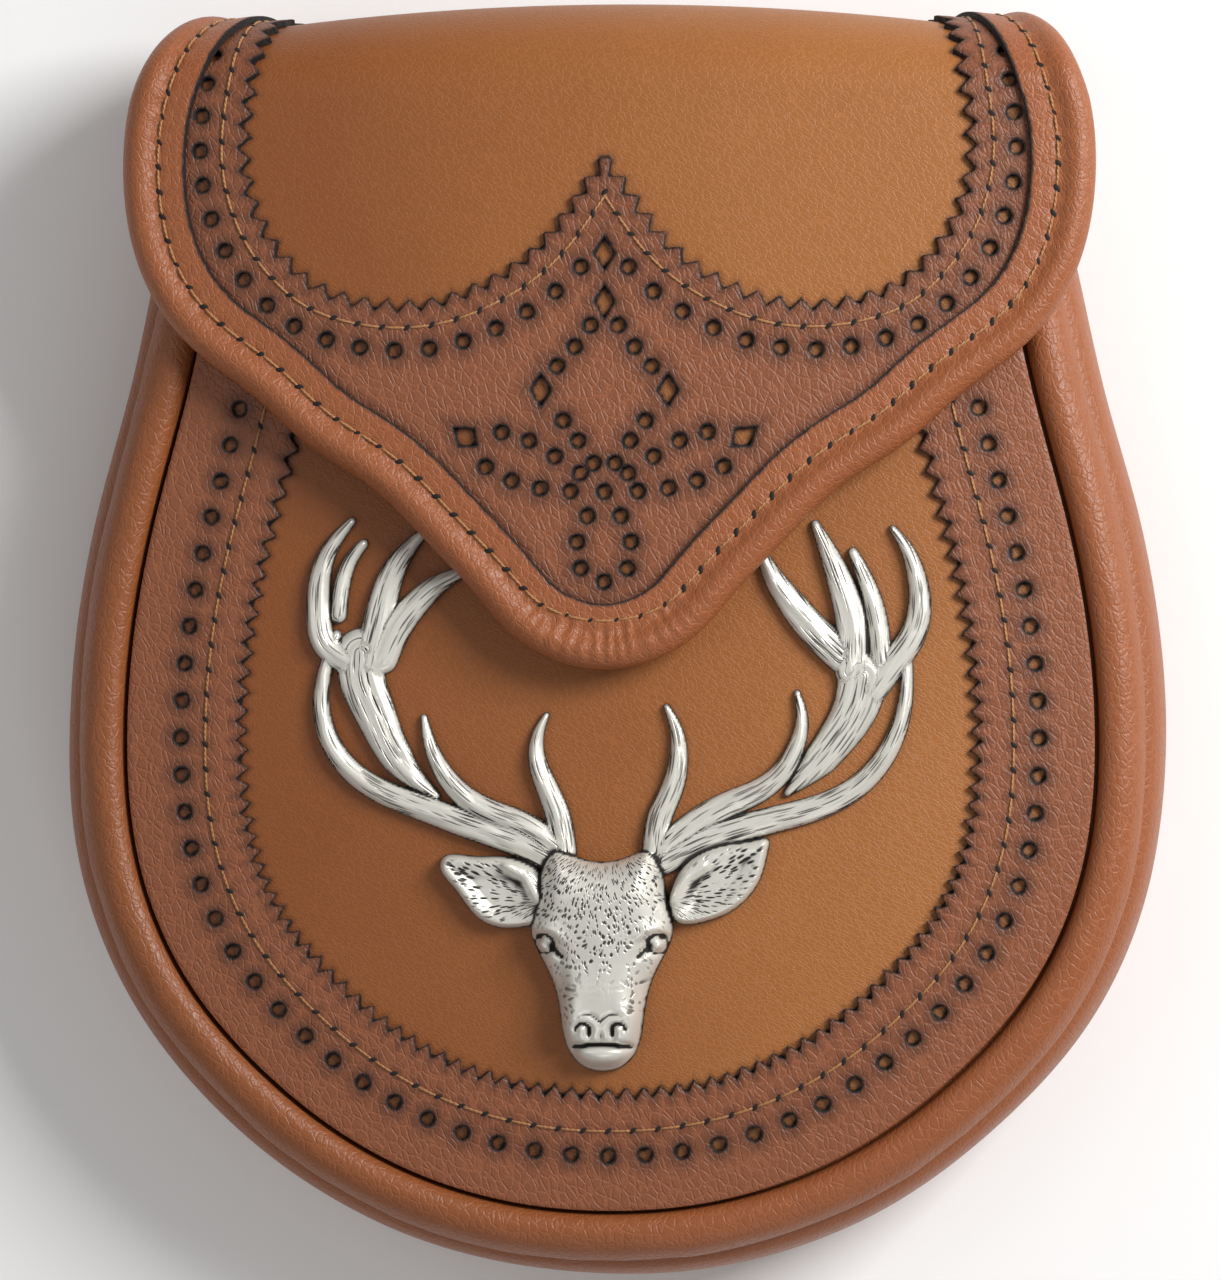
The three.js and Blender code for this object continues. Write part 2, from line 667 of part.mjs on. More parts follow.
// Binding: a flat band over the overlay's edge with a padded edge beside the leather.
function flapBinding() {
  const edge = spaced(flapEdge, flapSteps);
  const inward = offset(edge, 1).map((p, i) => p.sub(edge[i]));
  const section = [
    [bindingWidth, bindingLow], [bindingWidth, bindingLow + bindingThickness],
    [0.6 * bindingWidth, bindingLow + bindingThickness], [0.9 * beadWidth, beadTop],
    [0.2 * beadWidth, 0.9 * beadTop], [0, 0.4 * beadTop], [0.4 * beadWidth, 0],
    [beadWidth - 2 * gap, 0], [beadWidth - 2 * gap, bindingLow],
  ].map(([inset, lift]) => new THREE.Vector2(inset, lift));
  const rings = edge.map((p, i) => section.map(({ x: inset, y: lift }) =>
    onFlap(p.x + inward[i].x * inset, p.y + inward[i].y * inset, lift)));
  return closedSweep(rings, section);
}

// Belt strap: sewn feet on the back panel and a bridge that stands clear of it.
function beltLoop() {
  const foot = backLow - gap - loopThickness / 2;
  const bridge = floorGap + loopThickness / 2;
  const half = loopHeight / 2;
  const line = [[-half, foot], [loopFoot - half, foot], [1.5 * loopFoot - half, bridge],
    [half - 1.5 * loopFoot, bridge], [half - loopFoot, foot], [half, foot]];
  const shape = new THREE.Shape(thicken(line.map(([y, z]) => new THREE.Vector2(y, z)),
    loopThickness));
  const geometry = new THREE.ExtrudeGeometry(shape, { depth: loopWidth, bevelEnabled: false });
  geometry.translate(0, 0, -loopWidth / 2);
  geometry.rotateY(Math.PI / 2);
  geometry.rotateX(Math.PI / 2);
  return geometry;
}

// Fastener under the tongue: a stepped disc between the panel and the flap.
function flapStud() {
  const height = flapLift - 2 * gap;
  const profile = [[0, 0], [studRadius, 0], [studRadius, 0.35 * height],
    [0.7 * studRadius, 0.45 * height], [0.7 * studRadius, 0.7 * height],
    [0.9 * studRadius, 0.8 * height], [0.9 * studRadius, height], [0, height]];
  const geometry = new THREE.LatheGeometry(profile.map(([r, z]) => new THREE.Vector2(r, z)), 12);
  geometry.rotateX(Math.PI / 2);
  return geometry;
}

const badgeBase = gap;
const badgeY = bottomSeam + frontBand + toothDepth / 2 + badgeSet + 0.353 * badgeWidth;
const badgeUnit = badgeWidth / 100;
const tineHeight = flapLift - 2 * gap;

const tineSection = [[-0.5, 0.35], [-0.26, 0.92], [0.22, 1], [0.5, 0.35], [0, 0]]
  .map(([x, y]) => new THREE.Vector2(x, y));

// One tine: five-sided sections along a smooth line that follows the panel's dome.
function tine(rows) {
  const line = new THREE.SplineCurve(rows.map(([x, y]) => new THREE.Vector2(x, y)));
  const steps = rows.length;
  const rings = Array.from({ length: steps + 1 }, (_, k) => {
    const share = k / steps;
    const place = share * (rows.length - 1);
    const low = Math.min(Math.floor(place), rows.length - 2);
    const wide = THREE.MathUtils.lerp(rows[low][2], rows[low + 1][2], place - low) * badgeUnit;
    const tall = Math.min(wide * 0.8, tineHeight);
    const middle = line.getPoint(share).multiplyScalar(badgeUnit);
    const way = line.getTangent(share);
    return tineSection.map(({ x: side, y: up }) => {
      const x = middle.x - way.y * side * wide;
      const y = badgeY + middle.y + way.x * side * wide;
      return onFront(x, y, badgeBase + up * tall);
    });
  });
  return closedSweep(rings, tineSection);
}

// Head: sections across the face from brow to chin, highest down the nose.
function stagHead() {
  const section = [[-1, 0.25], [-0.8, 0.72], [-0.35, 0.95], [0, 1], [0.35, 0.95], [0.8, 0.72],
    [1, 0.25], [0.5, 0], [-0.5, 0]];
  const rings = headRows.map(({ along, half, rise }) => section.map(([side, up]) =>
    onFront(side * half * badgeUnit, badgeY + along * badgeUnit,
      badgeBase + up * rise * headHeight)));
  return closedSweep(rings, section.map(([x, y]) => new THREE.Vector2(x, y)));
}

function eye(side) {
  const geometry = new THREE.SphereGeometry(1.2 * badgeUnit, 6, 4);
  const [x, y] = [side * 9.3 * badgeUnit, badgeY - 14.3 * badgeUnit];
  geometry.translate(x, y, domeAt(x, y) + badgeBase + 0.58 * headHeight);
  return geometry;
}

function solid(geometry) {
  const bare = geometry.clone();
  bare.deleteAttribute('normal');
  bare.deleteAttribute('uv');
  const merged = mergeVertices(bare, 1e-4);
  return new wasm.Manifold(new wasm.Mesh({ numProp: 3,
    vertProperties: new Float32Array(merged.attributes.position.array),
    triVerts: new Uint32Array(merged.index.array) }));
}

// Badge: tines, ears, eyes and head cast in one.
function stagBadge() {
  const parts = [stagHead(), eye(-1), eye(1), ...Object.values(tineRows).map(tine)];
  const whole = parts.map(solid).reduce((sum, part) => sum.add(part));
  const { vertProperties, triVerts } = whole.getMesh();
  const geometry = new THREE.BufferGeometry();
  geometry.setAttribute('position', new THREE.BufferAttribute(vertProperties, 3));
  geometry.setIndex(new THREE.BufferAttribute(triVerts, 1));
  return geometry;
}

const group = new THREE.Group();

function addPiece(name, geometry, color, roughness, metalness = 0) {
  const material = new THREE.MeshStandardMaterial({ color, roughness, metalness });
  const mesh = new THREE.Mesh(geometry, material);
  mesh.name = name;
  group.add(mesh);
  return mesh;
}

const tan = 0xa5713f;
const brown = 0x8a5744;
const russet = 0xa8694a;

addPiece('back_panel', backPanel(), tan, 0.6);
addPiece('gusset', alongSeam(gussetSection), brown, 0.5);
addPiece('edge_roll', alongSeam(rollSection), brown, 0.45);
addPiece('front_panel', frontPanel(), tan, 0.45);
addPiece('front_overlay', frontOverlay(), brown, 0.5);
addPiece('flap_panel', flapPanel(), tan, 0.45);
addPiece('flap_overlay', flapOverlay(), brown, 0.5);
addPiece('flap_binding', flapBinding(), russet, 0.45);
addPiece('stag_badge', stagBadge(), 0xc9c7c2, 0.35, 1);

const loopY = foldY - tailLength - loopSet - loopHeight / 2;
for (const [name, side] of [['belt_loop_left', -1], ['belt_loop_right', 1]]) {
  addPiece(name, beltLoop(), tan, 0.6).position.set(side * loopSpacing / 2, loopY, 0);
}
const studY = tipY + studSet;
addPiece('flap_stud', flapStud(), 0xb09a6a, 0.35, 1)
  .position.set(0, studY, domeAt(0, studY) + gap);

export default group;
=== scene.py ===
"""Looks of a leather sporran pouch with a folded flap and a cast stag badge, as a Blender add-on.
Shapes are worked out in millimetres and handed to Blender in metres."""

import math

import bpy
import numpy as np
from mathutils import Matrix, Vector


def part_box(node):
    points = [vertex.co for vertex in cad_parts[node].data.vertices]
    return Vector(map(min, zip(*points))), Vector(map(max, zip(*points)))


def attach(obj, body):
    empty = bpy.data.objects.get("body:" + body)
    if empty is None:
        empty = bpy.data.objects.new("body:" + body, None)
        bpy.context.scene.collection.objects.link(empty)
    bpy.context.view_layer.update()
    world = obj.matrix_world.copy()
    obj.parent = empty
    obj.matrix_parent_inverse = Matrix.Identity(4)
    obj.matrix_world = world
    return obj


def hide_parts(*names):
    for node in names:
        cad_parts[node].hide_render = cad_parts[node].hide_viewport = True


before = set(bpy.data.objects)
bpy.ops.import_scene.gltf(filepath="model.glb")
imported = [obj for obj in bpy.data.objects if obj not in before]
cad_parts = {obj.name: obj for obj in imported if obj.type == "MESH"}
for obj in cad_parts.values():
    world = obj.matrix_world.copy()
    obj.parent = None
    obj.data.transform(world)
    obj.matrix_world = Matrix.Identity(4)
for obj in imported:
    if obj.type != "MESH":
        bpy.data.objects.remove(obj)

bl_info = {
    "name": "Sporran pouch",
    "version": (1, 0, 0),
    "blender": (4, 5, 0),
    "location": "3D View > Sidebar > Sporran",
    "description": "Builds a leather sporran pouch with a folded flap and a cast stag badge",
    "category": "Add Mesh",
}

MM = 0.001

# Steps of the flat grids in millimetres, the badge's in percent of its width.
BACK_STEP, FRONT_STEP, FLAP_STEP, OVERLAY_STEP, BADGE_STEP = 2.4, .94, .8, .46, .34

# Lower left and upper right corners of the grids of the back, the front and the badge, the last
# in percent of its width, and half the width of the flap's.
BACK_AREA = ((-90, -104), (90, 92))
FRONT_AREA = ((-82, -96), (82, 88))
BADGE_AREA = ((-51, -37.5), (54, 57))
FLAP_AREA_HALF = 81

# How far the back is let out over the seam, and how far it rises over the mouth.
BACK_OUT, BACK_ABOVE = 8.3, 3.4

# From the seam to the front's leather, from the flap's edge to the flap's, and the air under an
# overlay.
SEAM_GAP, EDGE_GAP, LAP_GAP = .3, 2.9, .03

# Width of the binding, its stitches' distance from the flap's edge, how much more that is at the
# tip and over which width, and the lift of the threads.
BINDING_WIDE, BINDING_STITCH, TIP_STITCH, TIP_WIDE, BINDING_TOP = 10.6, 6.3, 1.6, 16, 4.33

# Distance from a cut edge at which leather shows nothing of it.
PLAIN = 9.0

# Right half of the front seam from the bottom to the mouth: across as a share of the half width,
# along as a share of the reach above the widest line or of the depth below it.
SEAM_ROWS = (
    (0, -1), (.18, -.986), (.352, -.941), (.548, -.843), (.729, -.695), (.864, -.533), (.97, -.289),
    (1, 0), (.986, .163), (.941, .35), (.876, .542), (.819, .742), (.735, 1),
)

# Right half of the flap's edge from the tip: across as a share of the flap's half width, or of the
# tail's from along 2 on. Along: 0 tip, 1 start of the fold, 2 end of the fold, 3 end of the tail.
FLAP_ROWS = (
    (0, 0), (.135, .03), (.198, .066), (.257, .128), (.351, .212), (.489, .327), (.617, .395),
    (.718, .476), (.83, .544), (.938, .651), (.985, .757), (1, .862), (.986, 1), (.962, 1.14),
    (.925, 1.315), (.862, 1.55), (.8, 1.8), (.98, 2.15), (.965, 2.45), (.95, 2.7), (.93, 3),
)

# Right half of the pinked line on the flap, from its middle peak, in the same shares.
SCALLOP_ROWS = (
    (.004, .88), (.033, .849), (.083, .788), (.16, .717), (.246, .671), (.328, .644), (.416, .634),
    (.517, .644), (.595, .669), (.65, .708), (.697, .76), (.731, .827), (.745, .896), (.735, 1),
    (.705, 1.3), (.66, 1.6), (.79, 2), (.73, 2.4), (.7, 3),
)

# Round holes of the tongue's motif, right half: across and along as above.
MOTIF_ROUND = (
    (.028, .599), (.061, .562), (.097, .528), (.084, .434), (.053, .399), (.022, .36), (.049, .343),
    (.101, .372), (.154, .399), (.21, .414), (.243, .354), (.19, .33), (.131, .317), (.069, .312),
    (0, .311), (.034, .269), (.055, .224), (.048, .178), (0, .155),
)

# Diamond holes of the motif: across, along, slant.
MOTIF_DIAMONDS = ((0, .724, 0), (0, .64, 0), (.13, .487, 0), (.285, .406, 1))

# Corners of an upright and of a slanted diamond, as shares of half its width and height.
DIAMOND_CORNERS = (
    ((1, 0), (0, 1), (-1, 0), (0, -1)),
    ((1.15, .54), (-.85, .48), (-1.15, -.54), (.62, -.54)),
)

# Section of the edge roll: out as a share of its width, up as a share of its rise over the seam.
ROLL_ROWS = (
    (.03, -.5), (.06, .15), (.17, .72), (.36, 1), (.58, .92), (.8, .45), (.95, -.35), (1, -1.05),
    (.93, -1.6), (.64, -1.5), (.04, -1.6),
)

# Section of the gusset's middle line from the seam: out of it, and height over the floor. A height
# below 0 is taken from the seam's height instead.
GUSSET_ROWS = (
    (-1.25, -3.1), (3.95, -4.0), (8.2, -4.9), (9.9, -9), (10.4, 14.5), (9.8, 6.7), (8.6, 1.6),
    (6.8, .8), (5.2, .8), (3.4, 2.9), (3, 7.1),
)

# Section of the flap's binding: in from the flap's edge, and lift over the flap's inner face.
BINDING_ROWS = (
    (BINDING_WIDE, 3.22), (BINDING_WIDE, 4.3), (9.9, 4.4), (8, 4.4), (7.1, 4.38), (6.3, 4.26),
    (5.5, 4.4), (4.4, 5), (3, 5.4), (1.6, 5), (.45, 3.9), (0, 2.5), (.35, 1.1), (1.3, .1),
    (2.9, 0), (2.9, 3.22),
)

# Antlers in percent of the badge's width from the brow: start width, end width, points.
TINES = (
    (4.2, 1.0, (-6.9, .1), (-7.9, 6.1), (-10.1, 11.6), (-11.4, 16.4), (-10.7, 20.3), (-9.7, 22.3)),
    (4.6, 1.1, (-8.3, .9), (-13.8, 4.5), (-19.7, 6.9), (-24.1, 10), (-26.9, 13.6), (-28.8, 17.9),
     (-29.7, 21.9)),
    (4.6, 1.6, (-8.4, -1.4), (-12.2, .7), (-17.8, 2.9), (-23.7, 4.9), (-29.6, 7.1), (-35.6, 9.4),
     (-40.7, 12.4), (-44.7, 17.2), (-46.4, 22.3), (-46.4, 27), (-45.5, 31), (-43.9, 35.3)),
    (5.0, 8.4, (-27.7, 9.2), (-32.4, 13.2), (-35.6, 17.9), (-38.1, 23.5), (-39.9, 28.6),
     (-39.9, 32.2)),
    (4.4, 1.3, (-42.3, 31), (-45.9, 33.8), (-47, 39.3), (-46.8, 44), (-45.1, 49.2), (-41.5, 53.7)),
    (2.8, 1.6, (-43.7, 38.5), (-43, 43.7), (-41.5, 47.6), (-39.6, 50)),
    (5.4, 1.6, (-38.7, 30.2), (-37.1, 37.3), (-35.6, 43.3), (-33.2, 48), (-30, 51.6)),
    (5.0, 2.0, (-36.4, 31.4), (-34, 36.5), (-30.8, 40.5), (-27.3, 43.5), (-24.1, 45.2)),
    (4.2, 1.0, (7.8, .2), (8.6, 5.7), (10.6, 10.4), (11.7, 15.6), (11.2, 20.3), (9.7, 23.7)),
    (4.6, 1.1, (9.4, .6), (14.6, 4.9), (19.7, 7.9), (24.4, 10), (28.4, 13.2), (30.8, 17.6),
     (31.6, 21.5), (30.8, 25.9)),
    (4.6, 1.6, (9.4, -1.2), (14.6, 1.5), (21.3, 3.9), (27.2, 5.5), (33.1, 7.1), (39.1, 9.8),
     (43.8, 14), (46.6, 18.7), (48.2, 24.3), (48.6, 31.8)),
    (5.0, 8.4, (29.2, 9.7), (33.9, 14.4), (37.9, 19.5), (40.5, 24.3), (41.4, 28.6)),
    (5.4, 1.9, (37.9, 31.8), (33.1, 36.5), (29.2, 41.3), (26.6, 45.2), (25.2, 48.2)),
    (5.4, 1.5, (39.5, 29.4), (39.5, 37.3), (37.9, 43.3), (35.9, 48.4), (33.7, 53.1)),
    (3.6, 1.7, (44.4, 31), (43.6, 38.1), (42, 43.7), (39.8, 48.6)),
    (4.6, 1.2, (43, 26.3), (46.2, 30.6), (49.3, 35), (50.5, 39.7), (49.9, 45.2), (48.2, 49.6),
     (46.2, 52.4)),
)

# Ears, in the same percent.
EARS = (
    ((-26.9, -1.1), (-27.1, -2.4), (-25.2, -5.3), (-22.9, -8.4), (-20.2, -11.1), (-17.5, -12.1),
     (-13.2, -12), (-11.3, -11.5), (-9.8, -8), (-9.8, -5.3), (-10.9, -3), (-13.2, -1.5),
     (-17.5, -.5), (-21.7, -.5)),
    ((26.3, 2.2), (26.2, .5), (24.9, -4.2), (22.9, -7.2), (19.9, -9.6), (16, -11.1), (11, -10.9),
     (10, -8), (10.6, -5.3), (12.5, -1.9), (16, .5), (19.9, 1.6), (23.7, 2.1)),
)

# Head from the chin up: half width, place along, and height of the crest there, in percent.
HEAD_ROWS = (
    (0, -35.4, 3.0), (2.6, -34.9, 3.4), (4.6, -33.4, 4.2), (6, -30.7, 5.4), (6.8, -26.2, 6.9),
    (8, -20.9, 6.4), (9.7, -17.3, 6.3), (11.5, -12.6, 6.8), (10.6, -7.2, 7.5), (9.8, -3, 7.4),
    (7.4, .3, 6.0), (5, -.2, 5.8), (2.5, -1.1, 5.6), (0, -1.4, 5.6),
)

# Bumps and hollows of the face: rise, place across, width, place along, length.
FACE_ROWS = (
    (-1.1, 8.9, 2.3, -14.6, 1.7), (-1.0, 6.6, 1.2, -21.4, 3.2), (.7, 4.6, 1.8, -27.4, 2.6),
    (-1.4, 1.9, .42, -29, .9), (-.7, 0, .34, -29.6, .8), (.8, 0, 3.2, -32.9, 1.2),
)

# Lines of the fold in an ear, for the right one, and of an eye's corners, in percent.
EAR_FOLD = ((16, -2.2), (13.2, -4), (11, -7.4))
EYE_LINE = ((10.4, -13.2), (8.4, -14.6), (6.2, -16.6))

# Section of a belt loop: across as a share of half its width, up as a share of the leather.
LOOP_ROWS = ((-1, 0), (-1, -.75), (-.96, -1), (0, -1.02), (.96, -1), (1, -.75), (1, 0), (0, 0))

# Half length, half width and slant of a needle mark.
MARK_LONG, MARK_WIDE, MARK_SLANT = .78, .4, math.radians(40)

# Profile of the stud: out as a share of its radius, up as a share of its height.
STUD_ROWS = (
    (.02, 0), (.9, 0), (1, .15), (.98, .4), (.62, .5), (.6, .75), (.7, .9), (.6, 1), (.02, 1),
)

# Lights: name, place in metres, width, power.
LIGHTS = (
    ("key", (.72, .42, .66), .45, 12), ("fill", (-.7, .1, .9), .9, 1.6),
    ("rim", (.1, -.8, .7), .6, 1.3),
)

# Strength of the white surroundings. The camera's distance from what it looks at and half the
# height seen there, in metres, its lean to the right and the point it looks at.
SKY = .25
CAMERA_AWAY, VIEW_HALF, CAMERA_LEAN = 1.25, .1053, math.radians(4.3)
CAMERA_AIM = (-.0003, .0001, .022)


def linear(red, green, blue):
    """A screen colour of three numbers up to 255 as linear light."""
    share = [c / 255 for c in (red, green, blue)]
    return tuple(c / 12.92 if c <= .04045 else ((c + .055) / 1.055) ** 2.4 for c in share)


def millimetres(name, about, value):
    """A length property whose default is given in millimetres."""
    return bpy.props.FloatProperty(
        name=name, description=about, default=value * MM, min=0, unit="LENGTH", subtype="DISTANCE",
        precision=5)


def tint(name, about, *value):
    """A colour property whose default is given as a screen colour."""
    return bpy.props.FloatVectorProperty(
        name=name, description=about, default=linear(*value), min=0, max=1, size=3, subtype="COLOR")


class SporranSizes(bpy.types.PropertyGroup):
    """Main sizes of the pouch."""

    seam_half: millimetres("Seam half width", "Half the width of the front seam", 79.6)
    seam_depth: millimetres("Lower depth", "From the widest line to the bottom seam", 77.8)
    seam_reach: millimetres("Upper reach", "From the widest line to the mouth", 102)
    widest_drop: millimetres("Widest line", "How far the widest line lies below the middle", 15.7)
    seam_height: millimetres("Seam height", "Height of the front seam over the floor", 29)
    dome_rise: millimetres("Dome rise", "Rise of the front's middle over the seam", 5)
    dome_reach: millimetres("Dome reach", "Reach of the dome above the widest line", 153)
    leather: millimetres("Leather", "Thickness of the panels", 2)
    overlay: millimetres("Overlay", "Thickness of the overlays", 1.2)
    gusset: millimetres("Gusset", "Thickness of the side wall", 1.6)
    front_band: millimetres("Front band", "From the seam to the pinked line of the front", 19.5)
    front_row: millimetres("Front holes", "From the seam to the row of holes", 9.3)
    front_stitch: millimetres("Front stitches", "From the seam to the row of stitches", 13.4)
    front_pitch: millimetres("Front hole pitch", "Between holes of the front row", 6.1)
    flap_row: millimetres("Flap holes", "From the pinked line to the flap's row of holes", 7.3)
    flap_stitch: millimetres("Flap stitches", "From the pinked line to the flap's stitches", 3.6)
    flap_pitch: millimetres("Flap hole pitch", "Between holes of the flap's row", 5.7)
    tooth_pitch: millimetres("Tooth pitch", "Between teeth of the pinked edges", 3.7)
    tooth_depth: millimetres("Tooth depth", "From the root to the point of a tooth", 2.1)
    hole: millimetres("Hole", "Radius of a punched hole", 1.2)
    diamond_wide: millimetres("Diamond width", "Width of a diamond hole", 3.4)
    diamond_high: millimetres("Diamond height", "Height of a diamond hole", 5.6)
    flap_half: millimetres("Flap half width", "Half the width of the flap", 79.3)
    tail_half: millimetres("Tail half width", "Half the width of the flap's tail", 60.12)
    front_run: millimetres("Front run", "Length of the flap from the tip to the fold", 93.7)
    tail_length: millimetres("Tail", "Length of the flap's tail on the back", 24)
    tip_drop: millimetres("Tip", "How far the flap's tip lies below the middle", 5)
    flap_lift: millimetres("Flap lift", "From the front's dome to the flap's inner face", 3.2)
    fold_reach: millimetres("Fold reach", "How far the fold stands out over the mouth", 14)
    fold_taper: millimetres("Fold taper", "How much less it stands out at its ends", 6.9)
    tail_face: millimetres("Tail face", "Height of the tail's inner face over the floor", 7.1)
    back_low: millimetres("Back", "Height of the back panel's outer face", 7.4)
    roll_width: millimetres("Roll width", "Width of the edge roll", 8.1)
    roll_rise: millimetres("Roll rise", "Rise of the edge roll over the seam", 2.4)
    stitch: millimetres("Stitch", "Length of a stitch", 4.1)
    thread: millimetres("Thread", "Thickness of the thread", .42)
    badge_width: millimetres("Badge width", "Width of the badge", 100.8)
    badge_drop: millimetres("Badge", "How far the stag's brow lies below the middle", 34.6)


class SporranColours(bpy.types.PropertyGroup):
    """Colours of the pouch."""

    panel: tint("Panel", "Smooth tan leather", 134, 73, 27)
    # Lit side of the smooth leather: the panels run from the panel colour on the left to this on
    # the right, a painted side light.
    panel_lit_side: tint("Panel light", "Smooth leather where it is lightest", 166, 104, 50)
    grained: tint("Grained", "Pebbled leather of the overlays", 136, 78, 47)
    roll: tint("Roll", "Pebbled leather of the roll and gusset", 138, 77, 38)
    binding: tint("Binding", "Reddish leather of the binding", 150, 85, 47)
    # Brown of leather near a scorched cut edge, also used as painted shade beside the overlays'
    # edges, round needle holes, along the binding and in the thread's twist.
    burnt_and_shade: tint("Burnt", "Leather browned near a cut edge", 60, 31, 19)
    # Near black of a scorched cut edge, also used as painted shade on the needle marks, inside the
    # overlays' holes and right beside their edges.
    char: tint("Char", "Burnt cut edge", 22, 13, 11)
    thread: tint("Thread", "Waxed thread", 188, 134, 84)
    metal: tint("Pewter", "Polished pewter", 228, 225, 215)
    patina: tint("Patina", "Dark wash in the hollows of the pewter", 46, 43, 40)
    brass: tint("Brass", "Metal of the hidden stud", 170, 138, 80)
    floor: tint("Floor", "Pale floor", 250, 249, 248)


class Lengths:
    """Reads the size properties back in millimetres."""

    def __getattr__(self, name):
        return getattr(bpy.context.scene.sporran_sizes, name) / MM


size = Lengths()


def spaced(curve, count):
    """Points at equal steps along a line of points."""
    sums = np.concatenate([[0], np.cumsum(np.linalg.norm(np.diff(curve, axis=0), axis=1))])
    at = np.linspace(0, sums[-1], count)
    return np.stack([np.interp(at, sums, column) for column in curve.T], 1)


def smooth(points, count, closed=False):
    """Natural cubic spline through points against the length of its chords, at equal steps."""
    p = np.asarray(points, float)
    if closed:
        p = np.concatenate([p[-6:], p, p[:7]])
    t = np.concatenate([[0], np.cumsum(np.linalg.norm(np.diff(p, axis=0), axis=1))])
    h = np.diff(t)[:, None]
    i = np.arange(1, len(p) - 1)
    sums = np.eye(len(p))
    sums[i, i - 1] = h[:-1, 0]
    sums[i, i] = 2 * (h[:-1, 0] + h[1:, 0])
    sums[i, i + 1] = h[1:, 0]
    right = np.zeros_like(p)
    right[i] = 6 * ((p[2:] - p[1:-1]) / h[1:] - (p[1:-1] - p[:-2]) / h[:-1])
    bend = np.linalg.solve(sums, right)
    low, high = (t[6], t[-7]) if closed else (0, t[-1])
    at = np.linspace(low, high, 6 * count)
    k = np.clip(np.searchsorted(t, at) - 1, 0, len(h) - 1)
    a, b, w = (at - t[k])[:, None], (t[k + 1] - at)[:, None], h[k]
    curve = ((bend[k] * b ** 3 + bend[k + 1] * a ** 3) / (6 * w)
             + (p[k] / w - bend[k] * w / 6) * b + (p[k + 1] / w - bend[k + 1] * w / 6) * a)
    return spaced(curve, count)


def half_line(rows, count):
    """Right half of a smooth line that is mirrored about x = 0, from its middle."""
    rows = np.asarray(rows, float)
    whole = np.concatenate([rows[:0:-1] * (-1, 1), rows])
    return smooth(whole, 2 * count - 1)[count - 1:]


def whole_line(half):
    """Both halves of a mirrored line, from the left end to the right."""
    return np.concatenate([half[:0:-1] * (-1, 1), half])


def normals(line):
    """Unit normals of a flat line, on its left."""
    way = np.gradient(line, axis=0)
    way /= np.linalg.norm(way, axis=1, keepdims=True)
    return np.stack([-way[:, 1], way[:, 0]], 1)


def nearest(points, line):
    """Distance of points from a line of segments, above 0 on its left, and the run to there."""
    start, way = line[:-1], np.diff(line, axis=0)
    length = np.linalg.norm(way, axis=1)
    sums = np.concatenate([[0], np.cumsum(length)[:-1]])
    far, run = np.empty(len(points)), np.empty(len(points))
    for k in range(0, len(points), 6000):
        q = points[k:k + 6000, None] - start
        share = np.clip((q * way).sum(2) / length ** 2, 0, 1)
        away = np.linalg.norm(q - share[..., None] * way, axis=2)
        i = away.argmin(1)
        j = np.arange(len(i))
        side = way[i, 0] * q[j, i, 1] - way[i, 1] * q[j, i, 0]
        far[k:k + 6000] = away[j, i] * np.where(side < 0, -1, 1)
        run[k:k + 6000] = sums[i] + share[j, i] * length[i]
    return far, run


def zigzag(run, pitch):
    """A pinked edge along a run: 1 at the points of the teeth and -1 at the roots."""
    return 4 * np.abs(run / pitch - np.floor(run / pitch + .5)) - 1


def ripple(u, v, seed):
    """Smooth random heights from -1 to 1: random values at whole u and v, eased between them."""
    table = np.random.default_rng(seed).uniform(-1, 1, (64, 64))
    i, j = np.floor(u).astype(int), np.floor(v).astype(int)
    a, b = u - i, v - j
    a, b = a * a * (3 - 2 * a), b * b * (3 - 2 * b)
    low = table[i % 64, j % 64] * (1 - a) + table[(i + 1) % 64, j % 64] * a
    high = table[i % 64, (j + 1) % 64] * (1 - a) + table[(i + 1) % 64, (j + 1) % 64] * a
    return low * (1 - b) + high * b


def bell(value, width):
    """A smooth bump: 1 at 0, falling as the square of value over width."""
    return np.exp(-(value / width) ** 2)


def dome(x, y):
    """Height of the front: the seam's, plus the rise times 1 less the squares of both shares."""
    up = y + size.widest_drop
    reach = np.where(up > 0, size.dome_reach, size.seam_depth)
    return size.seam_height + size.dome_rise * (1 - (x / size.seam_half) ** 2 - (up / reach) ** 2)


def on_front(x, y, lift):
    """A place over the domed front."""
    return np.stack([x, y, dome(x, y) + lift], -1)


def flap_face(x, run):
    """Inner face of the flap: on the dome up to the fold, then half an ellipse round the mouth
    whose reach gets less with the square of x, then flat down the back."""
    fold_y = size.front_run - size.tip_drop
    high = (dome(x, fold_y) + size.flap_lift - size.tail_face) / 2
    reach = size.fold_reach - size.fold_taper * (x / size.flap_half) ** 2
    fold_run = fold_length()
    turn = np.pi * np.clip((run - size.front_run) / fold_run, 0, 1)
    on_dome = run < size.front_run
    past = np.maximum(run - size.front_run - fold_run, 0)
    y = np.where(on_dome, run - size.tip_drop, fold_y + reach * np.sin(turn) - past)
    z = np.where(on_dome, dome(x, run - size.tip_drop) + size.flap_lift,
                 size.tail_face + high * (1 + np.cos(turn)))
    return np.stack([x + 0 * y, y, z], -1)


def fold_length():
    """Length of the fold: half the way round a circle of the mean of its two half widths."""
    high = (dome(0, size.front_run - size.tip_drop) + size.flap_lift - size.tail_face) / 2
    return float(np.pi * (size.fold_reach + high) / 2)


